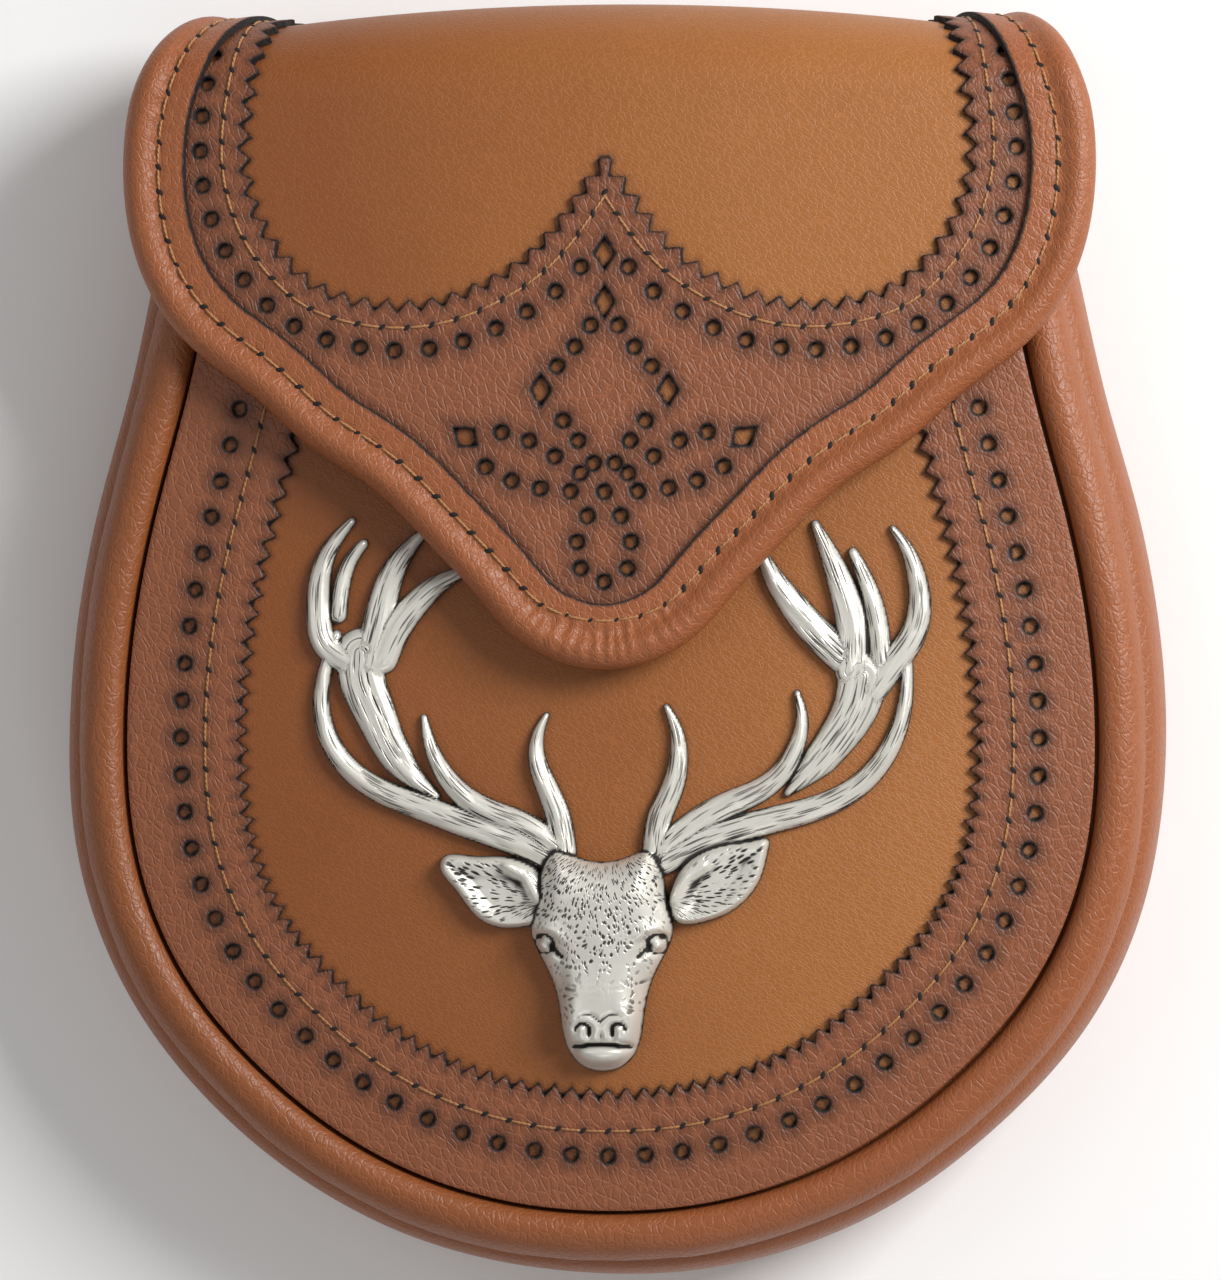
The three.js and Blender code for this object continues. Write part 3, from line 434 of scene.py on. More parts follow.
def on_flap(x, run, lift):
    """A place over the flap, lifted along the cross product of its two slopes."""
    step = .05
    over = flap_face(x + step, run) - flap_face(x - step, run)
    along = flap_face(x, run + step) - flap_face(x, run - step)
    normal = np.cross(over, along)
    normal /= np.linalg.norm(normal, axis=-1, keepdims=True)
    return flap_face(x, run) + normal * np.asarray(lift)[..., None]


def on_back(x, y, lift):
    """A place on the flat back, lifted upwards."""
    return np.stack([x, y, size.back_low + lift + 0 * x], -1)


def flap_length():
    """Length of the flap's leather from the tip to the end of the tail."""
    return size.front_run + fold_length() + size.tail_length


def flap_area():
    """Corners of the flap's grid."""
    return (-FLAP_AREA_HALF, -1), (FLAP_AREA_HALF, flap_length() + 1)


def folded(points):
    """Points with those of the left half mirrored to the right."""
    return points * (0, 1) + np.abs(points) * (1, 0)


def node_box(name):
    """Lowest and highest corner of a node of the frame, in millimetres."""
    return [np.array(corner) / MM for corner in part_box(name)]


def flap_shares(rows):
    """Rows of shares on the flap as places across and along it."""
    rows = np.asarray(rows, float)
    along = rows[:, 1]
    run = (size.front_run * np.minimum(along, 1) + fold_length() * np.clip(along - 1, 0, 1)
           + size.tail_length * np.maximum(along - 2, 0))
    wide = np.where(along >= 2, size.tail_half, size.flap_half)
    return np.stack([rows[:, 0] * wide, run], 1)


def seam_line():
    """Right half of the front seam, from the bottom to the mouth."""
    rows = np.array(SEAM_ROWS, float)
    reach = np.where(rows[:, 1] > 0, size.seam_reach, size.seam_depth)
    places = np.stack([rows[:, 0] * size.seam_half, rows[:, 1] * reach - size.widest_drop], 1)
    return half_line(places, 220)


def flap_line():
    """Right half of the flap's edge, from the tip, evened out by means of each point's sides."""
    line = whole_line(half_line(flap_shares(FLAP_ROWS), 260))
    for _ in range(36):
        line[1:-1] = (line[:-2] + 2 * line[1:-1] + line[2:]) / 4
    return line[259:] - (line[259, 0], 0)


def scallop_line():
    """Right half of the flap's pinked line, from its peak."""
    return smooth(flap_shares(SCALLOP_ROWS), 260)


def along_line(line, at):
    """Places at given runs along a line."""
    sums = np.concatenate([[0], np.cumsum(np.linalg.norm(np.diff(line, axis=0), axis=1))])
    return np.stack([np.interp(at, sums, column) for column in line.T], -1)


def line_length(line):
    """Sum of the lengths of a line's segments."""
    return float(np.linalg.norm(np.diff(line, axis=0), axis=1).sum())


def beside(line, away):
    """A line beside another, on its left for a distance above 0."""
    return line + normals(line) * np.asarray(away)[..., None]


def both_sides(places):
    """Places of the right half with their mirrored twins, one only where x is 0."""
    return np.concatenate([places, places[places[:, 0] > .05] * (-1, 1)])


def front_holes():
    """The front's row of holes, one at the bottom's middle and 27 up each side."""
    line = beside(seam_line(), size.front_row)
    return both_sides(along_line(line, size.front_pitch * np.arange(28)))


def flap_row_line(away):
    """A row at a distance outside the flap's pinked line, from where it leaves the middle."""
    line = beside(scallop_line(), -away)
    return line[np.argmax(line[:, 0] > 0):]


def flap_holes():
    """Round holes of the flap: its row and the motif."""
    line = flap_row_line(size.flap_row)
    line = line[np.argmax(line[:, 0] > .63 * size.flap_pitch):]
    first = along_line(line, size.flap_pitch * np.arange(21))
    return both_sides(np.concatenate([first, flap_shares(MOTIF_ROUND)]))


def front_stitches():
    """The front's row of stitches, at a distance inside the seam."""
    return whole_line(beside(seam_line(), size.front_stitch))


def flap_stitches():
    """The flap's row of stitches, which meets over the pinked line's peak."""
    line = flap_row_line(size.flap_stitch)
    return whole_line(np.concatenate([[[0, line[0, 1] + .8]], line]))


def binding_stitches():
    """The binding's row of stitches, farther in from the edge at the tip."""
    line = flap_line()
    return whole_line(beside(line, BINDING_STITCH + TIP_STITCH * bell(line[:, 0], TIP_WIDE)))


def stitch_count(line):
    """Stitches of a row: its length over a stitch's, rounded."""
    return max(round(line_length(line) / size.stitch), 1)


def needle_runs(line):
    """Runs of the ends of a row's stitches, one more than there are stitches."""
    return np.linspace(0, line_length(line), stitch_count(line) + 1)


def hole_distance(points, centres, radius):
    """Distance of points from the nearest round hole's edge."""
    best = np.full(len(points), 99.0)
    for centre in centres:
        best = np.minimum(best, np.linalg.norm(points - centre, axis=1) - radius)
    return best


def diamond_distance(points):
    """Distance of points from the nearest diamond hole's edge: the greatest of the distances
    outside its four sides."""
    best = np.full(len(points), 99.0)
    scale = (size.diamond_wide / 2, size.diamond_high / 2)
    for across, along, slant in MOTIF_DIAMONDS:
        middle = flap_shares([(across, along)])[0]
        q = folded(points) - middle
        corners = np.array(DIAMOND_CORNERS[slant]) * scale
        way = np.roll(corners, -1, 0) - corners
        out = np.stack([way[:, 1], -way[:, 0]], 1) / np.linalg.norm(way, axis=1, keepdims=True)
        best = np.minimum(best, ((q[:, None] - corners) * out).sum(2).max(1))
    return best


def front_cut(points):
    """How far points of the front lie inside its overlay, above 0 within it."""
    far, run = nearest(folded(points), seam_line())
    inner = size.front_band - far - zigzag(run, size.tooth_pitch) * size.tooth_depth / 2
    holes = hole_distance(points, front_holes(), size.hole)
    return far, np.minimum(inner, holes)


def flap_cut(points):
    """How far points of the flap lie inside its edge, and inside its overlay."""
    far, _ = nearest(folded(points), flap_line())
    past, run = nearest(folded(points), scallop_line())
    pinked = -past + zigzag(run + size.tooth_pitch / 2, size.tooth_pitch) * size.tooth_depth / 2
    holes = np.minimum(hole_distance(points, flap_holes(), size.hole), diamond_distance(points))
    return far, np.minimum(pinked, holes)


def grid(low, high, step):
    """Places of a flat grid, and its triangles."""
    x = np.arange(low[0], high[0] + step, step)
    y = np.arange(low[1], high[1] + step, step)
    places = np.stack(np.meshgrid(x, y), -1).reshape(-1, 2)
    first = (np.arange(len(y) - 1)[:, None] * len(x) + np.arange(len(x) - 1)).ravel()
    a, b, c, d = first, first + 1, first + len(x) + 1, first + len(x)
    return places, np.concatenate([np.stack([a, b, c], 1), np.stack([a, c, d], 1)]), len(x)


def trimmed(columns, faces):
    """The part of a triangle mesh where the last column is above 0. An edge that crosses 0 gets a
    point where that column, taken as straight, is 0. Returns columns, faces and border edges."""
    columns = columns.copy()
    last = columns[:, -1]
    last[np.abs(last) < .02] = .02
    inside = last > 0
    count = inside[faces].sum(1)
    turns = np.arange(3)
    one, two = faces[count == 1], faces[count == 2]
    one = np.take_along_axis(one, (inside[one].argmax(1)[:, None] + turns) % 3, 1)
    two = np.take_along_axis(two, ((~inside[two]).argmax(1)[:, None] + turns) % 3, 1)
    pairs = np.concatenate([one[:, [0, 1]], one[:, [0, 2]], two[:, [0, 1]], two[:, [0, 2]]])
    keys, where = np.unique(np.sort(pairs, 1), axis=0, return_inverse=True)
    a, b = columns[keys[:, 0]], columns[keys[:, 1]]
    share = (a[:, -1] / (a[:, -1] - b[:, -1]))[:, None]
    columns = np.concatenate([columns, a + share * (b - a)])
    p, q, r, s = np.split(where.ravel() + len(inside), np.cumsum([len(one), len(one), len(two)]))
    kept = np.concatenate([
        faces[count == 3], np.stack([one[:, 0], p, q], 1),
        np.stack([r, two[:, 1], two[:, 2]], 1), np.stack([r, two[:, 2], s], 1)])
    border = np.concatenate([np.stack([p, q], 1), np.stack([s, r], 1)])
    used, kept_at = np.unique(kept, return_inverse=True)
    fresh = np.zeros(len(columns), int)
    fresh[used] = np.arange(len(used))
    return columns[used], kept_at.reshape(kept.shape), fresh[border]


def add_piece(name, points, faces, material, attributes=(), sharp=40):
    """A mesh piece from points in millimetres and arrays of faces of one length each."""
    mesh = bpy.data.meshes.new(name)
    mesh.vertices.add(len(points))
    mesh.vertices.foreach_set("co", (points * MM).astype(np.float32).ravel())
    corners = np.concatenate([f.ravel() for f in faces])
    lengths = np.concatenate([np.full(len(f), f.shape[1]) for f in faces])
    mesh.loops.add(len(corners))
    mesh.loops.foreach_set("vertex_index", corners.astype(np.int32))
    mesh.polygons.add(len(lengths))
    starts = np.concatenate([[0], np.cumsum(lengths)[:-1]])
    mesh.polygons.foreach_set("loop_start", starts.astype(np.int32))
    mesh.polygons.foreach_set("use_smooth", np.ones(len(lengths), bool))
    mesh.update(calc_edges=True)
    mesh.validate()
    mesh.set_sharp_from_angle(angle=math.radians(sharp))
    for label, values in dict(attributes).items():
        layer = mesh.attributes.new(label, "FLOAT", "POINT")
        layer.data.foreach_set("value", np.asarray(values, np.float32))
    mesh.materials.append(material)
    piece = bpy.data.objects.new(name, mesh)
    bpy.context.scene.collection.objects.link(piece)
    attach(piece, "root")
    return piece


def slab(upper, lower, faces, border):
    """Points and faces of a body between two like surfaces, with walls along their border."""
    count = len(upper)
    walls = np.column_stack([border + count, border[:, ::-1]])
    return np.concatenate([upper, lower]), [faces, faces[:, ::-1] + count, walls]


def cut_sheet(name, place, area, step, inside, lifts, material, plain_under=True):
    """A sheet of leather cut from a flat grid. inside gives how far points lie within the cut and
    how far they lie from where they are browned and charred: a scorched cut edge, or painted shade
    beside an overlay's edge, in its holes, round needle holes and along the binding. The upper face
    is rounded down by a square over the last part before a cut, and plain_under keeps burns and
    painted shade from the lower one."""
    places, faces, _ = grid(*area, step)
    keep, burn_and_shade = inside(places)
    columns, faces, border = trimmed(np.column_stack([places, burn_and_shade, keep]), faces)
    x, y, burn_and_shade, keep = columns.T
    soft = .2 * (1 - np.clip(keep / .55, 0, 1)) ** 2
    points, faces = slab(place(x, y, lifts[1] - soft), place(x, y, lifts[0] + 0 * x),
                         faces, border)
    under = np.maximum(burn_and_shade, PLAIN) if plain_under else burn_and_shade
    return add_piece(name, points, faces, material, {"edge": np.concatenate([burn_and_shade, under])})


def outward(points, faces):
    """Faces, turned round where their volume, the sum of tetrahedra to the origin, is below 0."""
    volume = sum((np.cross(points[f[:, 0]], points[f[:, n]]) * points[f[:, n + 1]]).sum()
                 for f in faces for n in range(1, f.shape[1] - 1))
    return [f[:, ::-1] for f in faces] if volume < 0 else faces


def tubes(name, rows, material, attributes=(), sharp=50):
    """A piece from section points by tube, station and place round the section, with the ends
    capped."""
    count, stations, around = rows.shape[:3]
    n, i, j = np.meshgrid(*map(np.arange, (count, stations - 1, around)), indexing="ij")
    base, k = (n * stations + i) * around, (j + 1) % around
    quads = np.stack([base + j, base + around + j, base + around + k, base + k], -1)
    start, turn = np.arange(count)[:, None] * stations * around, np.arange(around)
    caps = np.concatenate([start + turn, start + stations * around - 1 - turn])
    points = rows.reshape(-1, 3)
    faces = outward(points, [quads.reshape(-1, 4), caps])
    return add_piece(name, points, faces, material, attributes, sharp)


def sections(line, ring, place, extra):
    """Section points at every station of a line, from places in from it on its left and lifts."""
    flat = line[:, None] + normals(line)[:, None] * ring[:, :1]
    return place(flat[..., 0], flat[..., 1], ring[:, 1] + extra)


class Value:
    """A shader socket whose sums make Math nodes."""

    def __init__(self, shader, socket):
        self.shader, self.socket = shader, socket

    def math(self, kind, *values, **settings):
        made = self.shader.node("ShaderNodeMath", {"operation": kind, **settings},
                                dict(enumerate(values)))
        return made.out(0)

    def __add__(self, other):
        return self.math("ADD", self, other)

    def __radd__(self, other):
        return self.math("ADD", other, self)

    def __sub__(self, other):
        return self.math("SUBTRACT", self, other)

    def __rsub__(self, other):
        return self.math("SUBTRACT", other, self)

    def __mul__(self, other):
        return self.math("MULTIPLY", self, other)

    def __rmul__(self, other):
        return self.math("MULTIPLY", other, self)

    def __truediv__(self, other):
        return self.math("DIVIDE", self, other)

    def __rtruediv__(self, other):
        return self.math("DIVIDE", other, self)

    def __pow__(self, other):
        return self.math("POWER", self, other)

    def __rpow__(self, other):
        return self.math("POWER", other, self)

    def sine(self):
        return self.math("SINE", self)

    def between(self, low, high):
        """0 below low, 1 above high and eased in between."""
        share = self.math("DIVIDE", self - low, high - low, use_clamp=True)
        return share * share * (3 - 2 * share)


class Node:
    """A made node that gives its outputs as values."""

    def __init__(self, shader, node):
        self.shader, self.made = shader, node

    def out(self, key=0):
        return Value(self.shader, self.made.outputs[key])


class Shader:
    """A material with one surface node, built up by node()."""

    def __init__(self, name):
        self.material = bpy.data.materials.new(name + "_look")
        self.material.use_nodes = True
        self.tree = self.material.node_tree
        self.tree.nodes.clear()
        self.surface = self.node("ShaderNodeBsdfPrincipled")
        output = self.node("ShaderNodeOutputMaterial")
        self.tree.links.new(self.surface.made.outputs[0], output.made.inputs["Surface"])

    def node(self, kind, settings=(), values=()):
        """A node: its settings first, then a value or a link for each named or numbered socket."""
        made = self.tree.nodes.new(kind)
        for key, value in dict(settings).items():
            setattr(made, key, value)
        for key, value in dict(values).items():
            self.feed(made.inputs[key], value)
        return Node(self, made)

    def feed(self, socket, value):
        if isinstance(value, Value):
            self.tree.links.new(value.socket, socket)
        else:
            socket.default_value = value

    def set(self, **values):
        """Feeds the surface node, for example base_color or roughness."""
        for key, value in values.items():
            self.feed(self.surface.made.inputs[key.replace("_", " ").title()], value)
        return self.material

    def place(self):
        return self.node("ShaderNodeTexCoord").out("Object")

    def moved(self, turn, stretch):
        """Object coordinates turned about Z, then stretched."""
        turned = self.node("ShaderNodeMapping", values={
            "Vector": self.place(), "Rotation": (0, 0, math.radians(turn)), "Scale": (1, 1, 1)})
        return self.node("ShaderNodeMapping", values={
            "Vector": turned.out(), "Scale": stretch}).out()

    def noise(self, place, scale, detail=2.0, rough=.5):
        return self.node("ShaderNodeTexNoise", values={
            "Vector": place, "Scale": scale, "Detail": detail, "Roughness": rough}).out("Fac")

    def cells(self, place, scale, feature="DISTANCE_TO_EDGE", random=1.0):
        return self.node("ShaderNodeTexVoronoi", {"feature": feature}, {
            "Vector": place, "Scale": scale, "Randomness": random}).out("Distance")

    def wobbled(self, place, scale, amount):
        """A place pushed aside by noise."""
        made = self.node("ShaderNodeTexNoise", values={"Vector": place, "Scale": scale})
        away = self.node("ShaderNodeVectorMath", {"operation": "SUBTRACT"}, {
            0: made.out("Color"), 1: (.5, .5, .5)}).out()
        return self.node("ShaderNodeVectorMath", {"operation": "MULTIPLY_ADD"}, {
            0: away, 1: (amount,) * 3, 2: place}).out()

    def mix(self, share, first, second, blend="MIX"):
        made = self.node("ShaderNodeMix", {"data_type": "RGBA", "blend_type": blend}, {
            0: share, 6: first, 7: second})
        return made.out(2)

    def grey(self, value):
        return self.node("ShaderNodeCombineColor", values={0: value, 1: value, 2: value}).out()

    def axis(self, name):
        return self.node("ShaderNodeSeparateXYZ", values={0: self.place()}).out(name)

    def attribute(self, name):
        return self.node("ShaderNodeAttribute", {"attribute_name": name}).out("Fac")

    def bump(self, height, depth, strength=1.0):
        return self.node("ShaderNodeBump", values={
            "Height": height, "Distance": depth * MM, "Strength": strength}).out()


def colour(name):
    return (*getattr(bpy.context.scene.sporran_colours, name), 1.0)


def known(name):
    """A material made earlier under this name, or None."""
    return bpy.data.materials.get(name + "_look")


def leather(name, first, second, grain, depth, turn=0, stretch=(1, 1, 1), reach=3.0, browned=.6,
            rough=.42, crease_highlight=-.16):
    """Leather: pebbles from the distance to the edges of jittered cells, fine pores from noise,
    slow random changes of tone plus a painted side light that makes it lighter towards +X, and an
    edge attribute in millimetres that browns and chars it: scorched at its own cut edges, painted
    shade beside an overlay's edge, in its holes, round needle holes and along the binding. The last
    argument is how much lighter its creases are painted, a painted highlight; below 0 it paints
    shade into them."""
    if known(name):
        return known(name)
    s = Shader(name)
    place = s.wobbled(s.moved(turn, stretch), grain * .5, .0009)
    crease = s.cells(place, grain).between(0, .16)
    fine = s.cells(place, grain * 2.2).between(0, .25)
    pores = s.noise(s.place(), 2400, 3)
    # Random mottling from noise, plus a painted side light: the X term makes the leather lighter
    # towards the right.
    tone = (s.noise(s.place(), 14, 4) - .5) * .8 + s.axis("X") * 5.5 + .45
    height = crease * .62 + fine * .24 + pores * .3
    plain = s.mix(tone.between(0, 1), colour(first), colour(second))
    # Crease lines are painted lighter, a painted highlight; the fine cells' creases are painted a
    # little darker, painted shade; the pores vary at random.
    shade = .96 + crease_highlight * (1 - crease) + .04 * fine + .1 * (pores - .5)
    body = s.mix(1.0, plain, s.grey(shade), "MULTIPLY")
    edge = s.attribute("edge")
    # Browning and charring by the edge attribute: scorching at a piece's own cut edges, painted
    # shade where the attribute measures from an overlay's edge, a needle hole or the binding.
    wander = edge + (s.noise(s.place(), 700, 2) - .5) * .5
    brown = (1 - wander.between(.1, reach)) * browned
    char = 1 - wander.between(.1, .5)
    warmed = s.mix(brown, body, colour("burnt_and_shade"))
    final = s.mix(char, warmed, colour("char"))
    return s.set(base_color=final, roughness=rough + .12 * (1 - crease) + .3 * char,
                 normal=s.bump(height, depth))


def panel_leather():
    """Smooth leather: shallow fine grain, painted lighter towards the right as a painted side
    light, and charred only right at the cuts, which on the front and flap panels is painted shade
    beside the overlay's edge and in its holes.
    """
    return leather("panel_leather", "panel", "panel_lit_side", 1500, .05, turn=25, stretch=(.5, 1, 1),
                   reach=1.6, browned=.35, rough=.42, crease_highlight=.1)


def overlay_leather():
    return leather("grained_leather", "grained", "grained", 780, .12, turn=-25,
                   stretch=(1, .62, 1), reach=3, browned=.6, rough=.44, crease_highlight=.16)


def roll_leather():
    # Its tone runs from the roll colour on the left to the lighter binding colour on the right: a
    # painted side light.
    return leather("roll_leather", "roll", "binding", 760, .09, turn=-20, stretch=(1, .7, 1),
                   rough=.4, crease_highlight=.08)


def binding_leather():
    return leather("binding_leather", "binding", "binding", 900, .09, turn=-30,
                   stretch=(1, .7, 1), reach=.9, browned=.5, rough=.4, crease_highlight=.14)


def thread():
    """Waxed thread: two strands wound together, as stripes of a sine of run plus turn that
    are darker in the grooves between the strands, painted shade.
    """
    if known("thread"):
        return known("thread")
    s = Shader("thread")
    wound = (s.attribute("run") * 7 + s.attribute("turn") * 2 * math.tau).sine()
    # The stripes darken where the twist's bump is low: painted shade in the grooves.
    body = s.mix(.5 + .5 * wound, colour("burnt_and_shade"), colour("thread"))
    tone = s.mix(.72, body, colour("thread"))
    return s.set(base_color=tone, roughness=.5, normal=s.bump(wound, .05))


# Near black lenses over the stitch holes: painted shade of the holes.
def needle_hole_shade():
    if known("needle_hole_shade"):
        return known("needle_hole_shade")
    s = Shader("needle_hole_shade")
    return s.set(base_color=colour("char"), roughness=.8)


def pewter():
    """Pewter with a dark wash where the cavity attribute is high, and in short strokes of hair:
    long cells in the places that two attributes give."""
    if known("pewter"):
        return known("pewter")
    s = Shader("pewter")
    fine = s.noise(s.place(), 900, 4, .6)
    spots = s.noise(s.place(), 160, 3)
    combed = s.node("ShaderNodeCombineXYZ", values={
        0: s.attribute("hair_u"), 1: s.attribute("hair_v"), 2: 0.0}).out()
    stroke = 1 - s.cells(s.wobbled(combed, .8, .5), 1.0, "F1").between(.24, .5)
    cut = stroke * s.attribute("hair")
    wash = (s.attribute("cavity") + (spots - .5) * .3 + .75 * cut).between(.12, .85)
    body = s.mix(wash, colour("metal"), colour("patina"))
    return s.set(base_color=body, metallic=.4, roughness=.36 + .3 * wash + .12 * (fine - .5),
                 normal=s.bump(fine * .3 - cut, .14, .8))


def brass():
    if known("stud_metal"):
        return known("stud_metal")
    s = Shader("stud_metal")
    fine = s.noise(s.place(), 700, 3)
    return s.set(base_color=colour("brass"), metallic=1.0, roughness=.3 + .15 * (fine - .5))


class SPORRAN_OT_back_panel(bpy.types.Operator):
    """Adds the flat back panel: the seam's outline let out by a set distance"""

    bl_idname = "sporran.back_panel"
    bl_label = "Back Panel"

    def execute(self, context):
        top = size.seam_reach - size.widest_drop + BACK_ABOVE

        def inside(p):
            far, _ = nearest(folded(p), seam_line())
            keep = np.minimum(far + BACK_OUT, top - p[:, 1])
            return keep, keep + 1

        piece = cut_sheet("back_panel_leather", on_back, BACK_AREA, BACK_STEP, inside,
                          (0, size.leather), panel_leather())
        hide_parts("back_panel")
        return {"FINISHED"}


class SPORRAN_OT_front_panel(bpy.types.Operator):
    """Adds the domed front panel"""

    bl_idname = "sporran.front_panel"
    bl_label = "Front Panel"

    def execute(self, context):
        mouth = size.seam_reach - size.widest_drop

        def inside(p):
            far, cut = front_cut(p)
            # The second value is the distance outside the overlay's cut: it browns and chars the
            # panel right beside the overlay's edge and inside its holes, painted shade.
            return np.minimum(far - SEAM_GAP, mouth - p[:, 1]), np.maximum(-cut, 0)

        piece = cut_sheet("front_panel_leather", on_front, FRONT_AREA, FRONT_STEP, inside,
                          (-size.leather, 0), panel_leather())
        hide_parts("front_panel")
        return {"FINISHED"}


class SPORRAN_OT_front_overlay(bpy.types.Operator):
    """Adds the front's band with its pinked inner edge and row of punched holes"""

    bl_idname = "sporran.front_overlay"
    bl_label = "Front Overlay"

    def execute(self, context):
        mouth = size.seam_reach - size.widest_drop
        needles = along_line(front_stitches(), needle_runs(front_stitches()))

        def inside(p):
            far, cut = front_cut(p)
            keep = np.minimum.reduce([cut, far - SEAM_GAP, mouth - p[:, 1]])
            # Needle holes brown the overlay round them and char it a little: painted shade of the
            # holes.
            marks = hole_distance(p, needles, .1) + .5
            return keep, np.maximum(np.minimum(cut, marks), 0)

        piece = cut_sheet("front_overlay_leather", on_front, FRONT_AREA, OVERLAY_STEP, inside,
                          (LAP_GAP, size.overlay), overlay_leather(), plain_under=False)
        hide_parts("front_overlay")
        return {"FINISHED"}


class SPORRAN_OT_gusset(bpy.types.Operator):
    """Adds the side wall: a bulging section carried round the seam"""

    bl_idname = "sporran.gusset"
    bl_label = "Gusset"

    def execute(self, context):
        half = spaced(seam_line(), 180)
        line = whole_line(half)
        rows = np.asarray(GUSSET_ROWS, float)
        high = dome(line[:, 0], line[:, 1])
        lifts = np.where(rows[:, 1] < 0, high[:, None] + rows[:, 1], rows[:, 1] + 0 * high[:, None])
        middle = np.stack([np.broadcast_to(rows[:, 0], lifts.shape), lifts], -1)
        fine = np.stack([smooth(m, 26) for m in middle])
        sides = np.stack([normals(m) for m in fine])
        ring = np.concatenate([fine + sides * size.gusset / 2,
                               (fine - sides * size.gusset / 2)[:, ::-1]], 1)
        run = np.linspace(0, line_length(line), len(line))[:, None]
        turn = np.linspace(0, 1, ring.shape[1])[None] * 34
        bulge = np.clip((ring[..., 0] - 5) / 5, 0, 1) * np.clip((ring[..., 1] - 2) / 6, 0, 1)
        out = ring[..., 0] + .35 * bulge * ripple(run / 24, turn / 9, 5)
        flat = line[:, None] - normals(line)[:, None] * out[..., None]
        points = np.concatenate([flat, ring[..., 1:]], -1)
        edge = np.full(points.shape[:2], PLAIN)
        piece = tubes("gusset_leather", points[None], roll_leather(), {"edge": edge.ravel()}, 60)
        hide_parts("gusset")
        return {"FINISHED"}


class SPORRAN_OT_edge_roll(bpy.types.Operator):
    """Adds the padded roll along the front seam: a rounded section with slight lumps"""

    bl_idname = "sporran.edge_roll"
    bl_label = "Edge Roll"

    def execute(self, context):
        line = whole_line(spaced(seam_line(), 300))
        rows = np.asarray(ROLL_ROWS, float) * (size.roll_width, size.roll_rise)
        ring = smooth(rows, 36, closed=True)
        run = np.linspace(0, line_length(line), len(line))[:, None]
        turn = np.linspace(0, 1, len(ring))[None] * 6
        puffed = 1 + .018 * ripple(run / 11, turn, 8) + .012 * ripple(run / 3.5, turn * 1.5, 9)
        flat = line[:, None] - normals(line)[:, None] * (ring[:, 0] * puffed)[..., None]
        high = dome(line[:, 0], line[:, 1])[:, None] + ring[:, 1] * (2 * puffed - 1)
        points = np.concatenate([flat, high[..., None]], -1)
        edge = np.full(points.shape[:2], PLAIN)
        piece = tubes("edge_roll_leather", points[None], roll_leather(), {"edge": edge.ravel()}, 60)
        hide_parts("edge_roll")
        return {"FINISHED"}


class SPORRAN_OT_flap_panel(bpy.types.Operator):
    """Adds the flap's leather, folded over the mouth"""

    bl_idname = "sporran.flap_panel"
    bl_label = "Flap Panel"

    def execute(self, context):
        whole = flap_length()

        def inside(p):
            far, cut = flap_cut(p)
            # The second value is the distance outside the overlay's cut: it browns and chars the
            # panel right beside the overlay's edge and inside its holes, painted shade.
            return np.minimum(far - EDGE_GAP, whole - p[:, 1]), np.maximum(-cut, 0)

        piece = cut_sheet("flap_panel_leather", on_flap, flap_area(), FLAP_STEP, inside,
                          (0, size.leather), panel_leather())
        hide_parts("flap_panel")
        return {"FINISHED"}


class SPORRAN_OT_flap_overlay(bpy.types.Operator):
    """Adds the flap's overlay with two pinked scallops, the row of holes and the motif"""

    bl_idname = "sporran.flap_overlay"
    bl_label = "Flap Overlay"

    def execute(self, context):
        whole = flap_length()
        needles = along_line(flap_stitches(), needle_runs(flap_stitches()))

        def inside(p):
            far, cut = flap_cut(p)
            keep = np.minimum.reduce([cut, far - EDGE_GAP, whole - p[:, 1]])
            # Needle holes brown the overlay round them and char it a little: painted shade of the
            # holes.
            marks = hole_distance(p, needles, .1) + .5
            # Brown along the binding's inner edge on the overlay: a painted shadow of the binding.
            lap = np.abs(far - BINDING_WIDE + .3) + .3
            return keep, np.maximum(np.minimum.reduce([cut, marks, lap]), 0)

        piece = cut_sheet("flap_overlay_leather", on_flap, flap_area(), OVERLAY_STEP, inside,
                          (size.leather + LAP_GAP, size.leather + size.overlay),
                          overlay_leather(), plain_under=False)
        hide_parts("flap_overlay")
        return {"FINISHED"}


class SPORRAN_OT_flap_binding(bpy.types.Operator):
    """Adds the flap's binding: a band with a padded outer edge, gathered a little round the tip"""

    bl_idname = "sporran.flap_binding"
    bl_label = "Flap Binding"

    def execute(self, context):
        line = whole_line(spaced(flap_line(), 460))
        rows = np.asarray(BINDING_ROWS, float)
        first = smooth(rows[1:-2], 30)
        ring = np.concatenate([first, rows[-2:], rows[:1]])
        run = (np.linspace(-.5, .5, len(line)) * line_length(line))[:, None]
        inset = ring[:, 0]
        loose = bell(run, 20) * np.clip(inset - 1, 0, 1) * np.clip((8 - inset) / 2.5, 0, 1)
        gather = .13 * np.sin(math.tau * run / 2.7 + 2 * ripple(run / 6, run * 0, 3)) * loose
        held = .12 * np.cos(math.tau * run / size.stitch) * bell(inset - BINDING_STITCH, 1.3)
        upper = np.clip((ring[:, 1] - 3.3) / .6, 0, 1)
        lumps = .12 * ripple(run / 9, inset[None] / 4, 4) * bell(inset - 3, 3)
        points = sections(line, ring, on_flap, (gather - held + lumps) * upper)
        edge = np.where(inset > 5, BINDING_WIDE - inset, PLAIN)[None] + 0 * run
        piece = tubes("flap_binding_leather", points[None], binding_leather(),
                      {"edge": edge.ravel()}, 60)
        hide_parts("flap_binding")
        return {"FINISHED"}


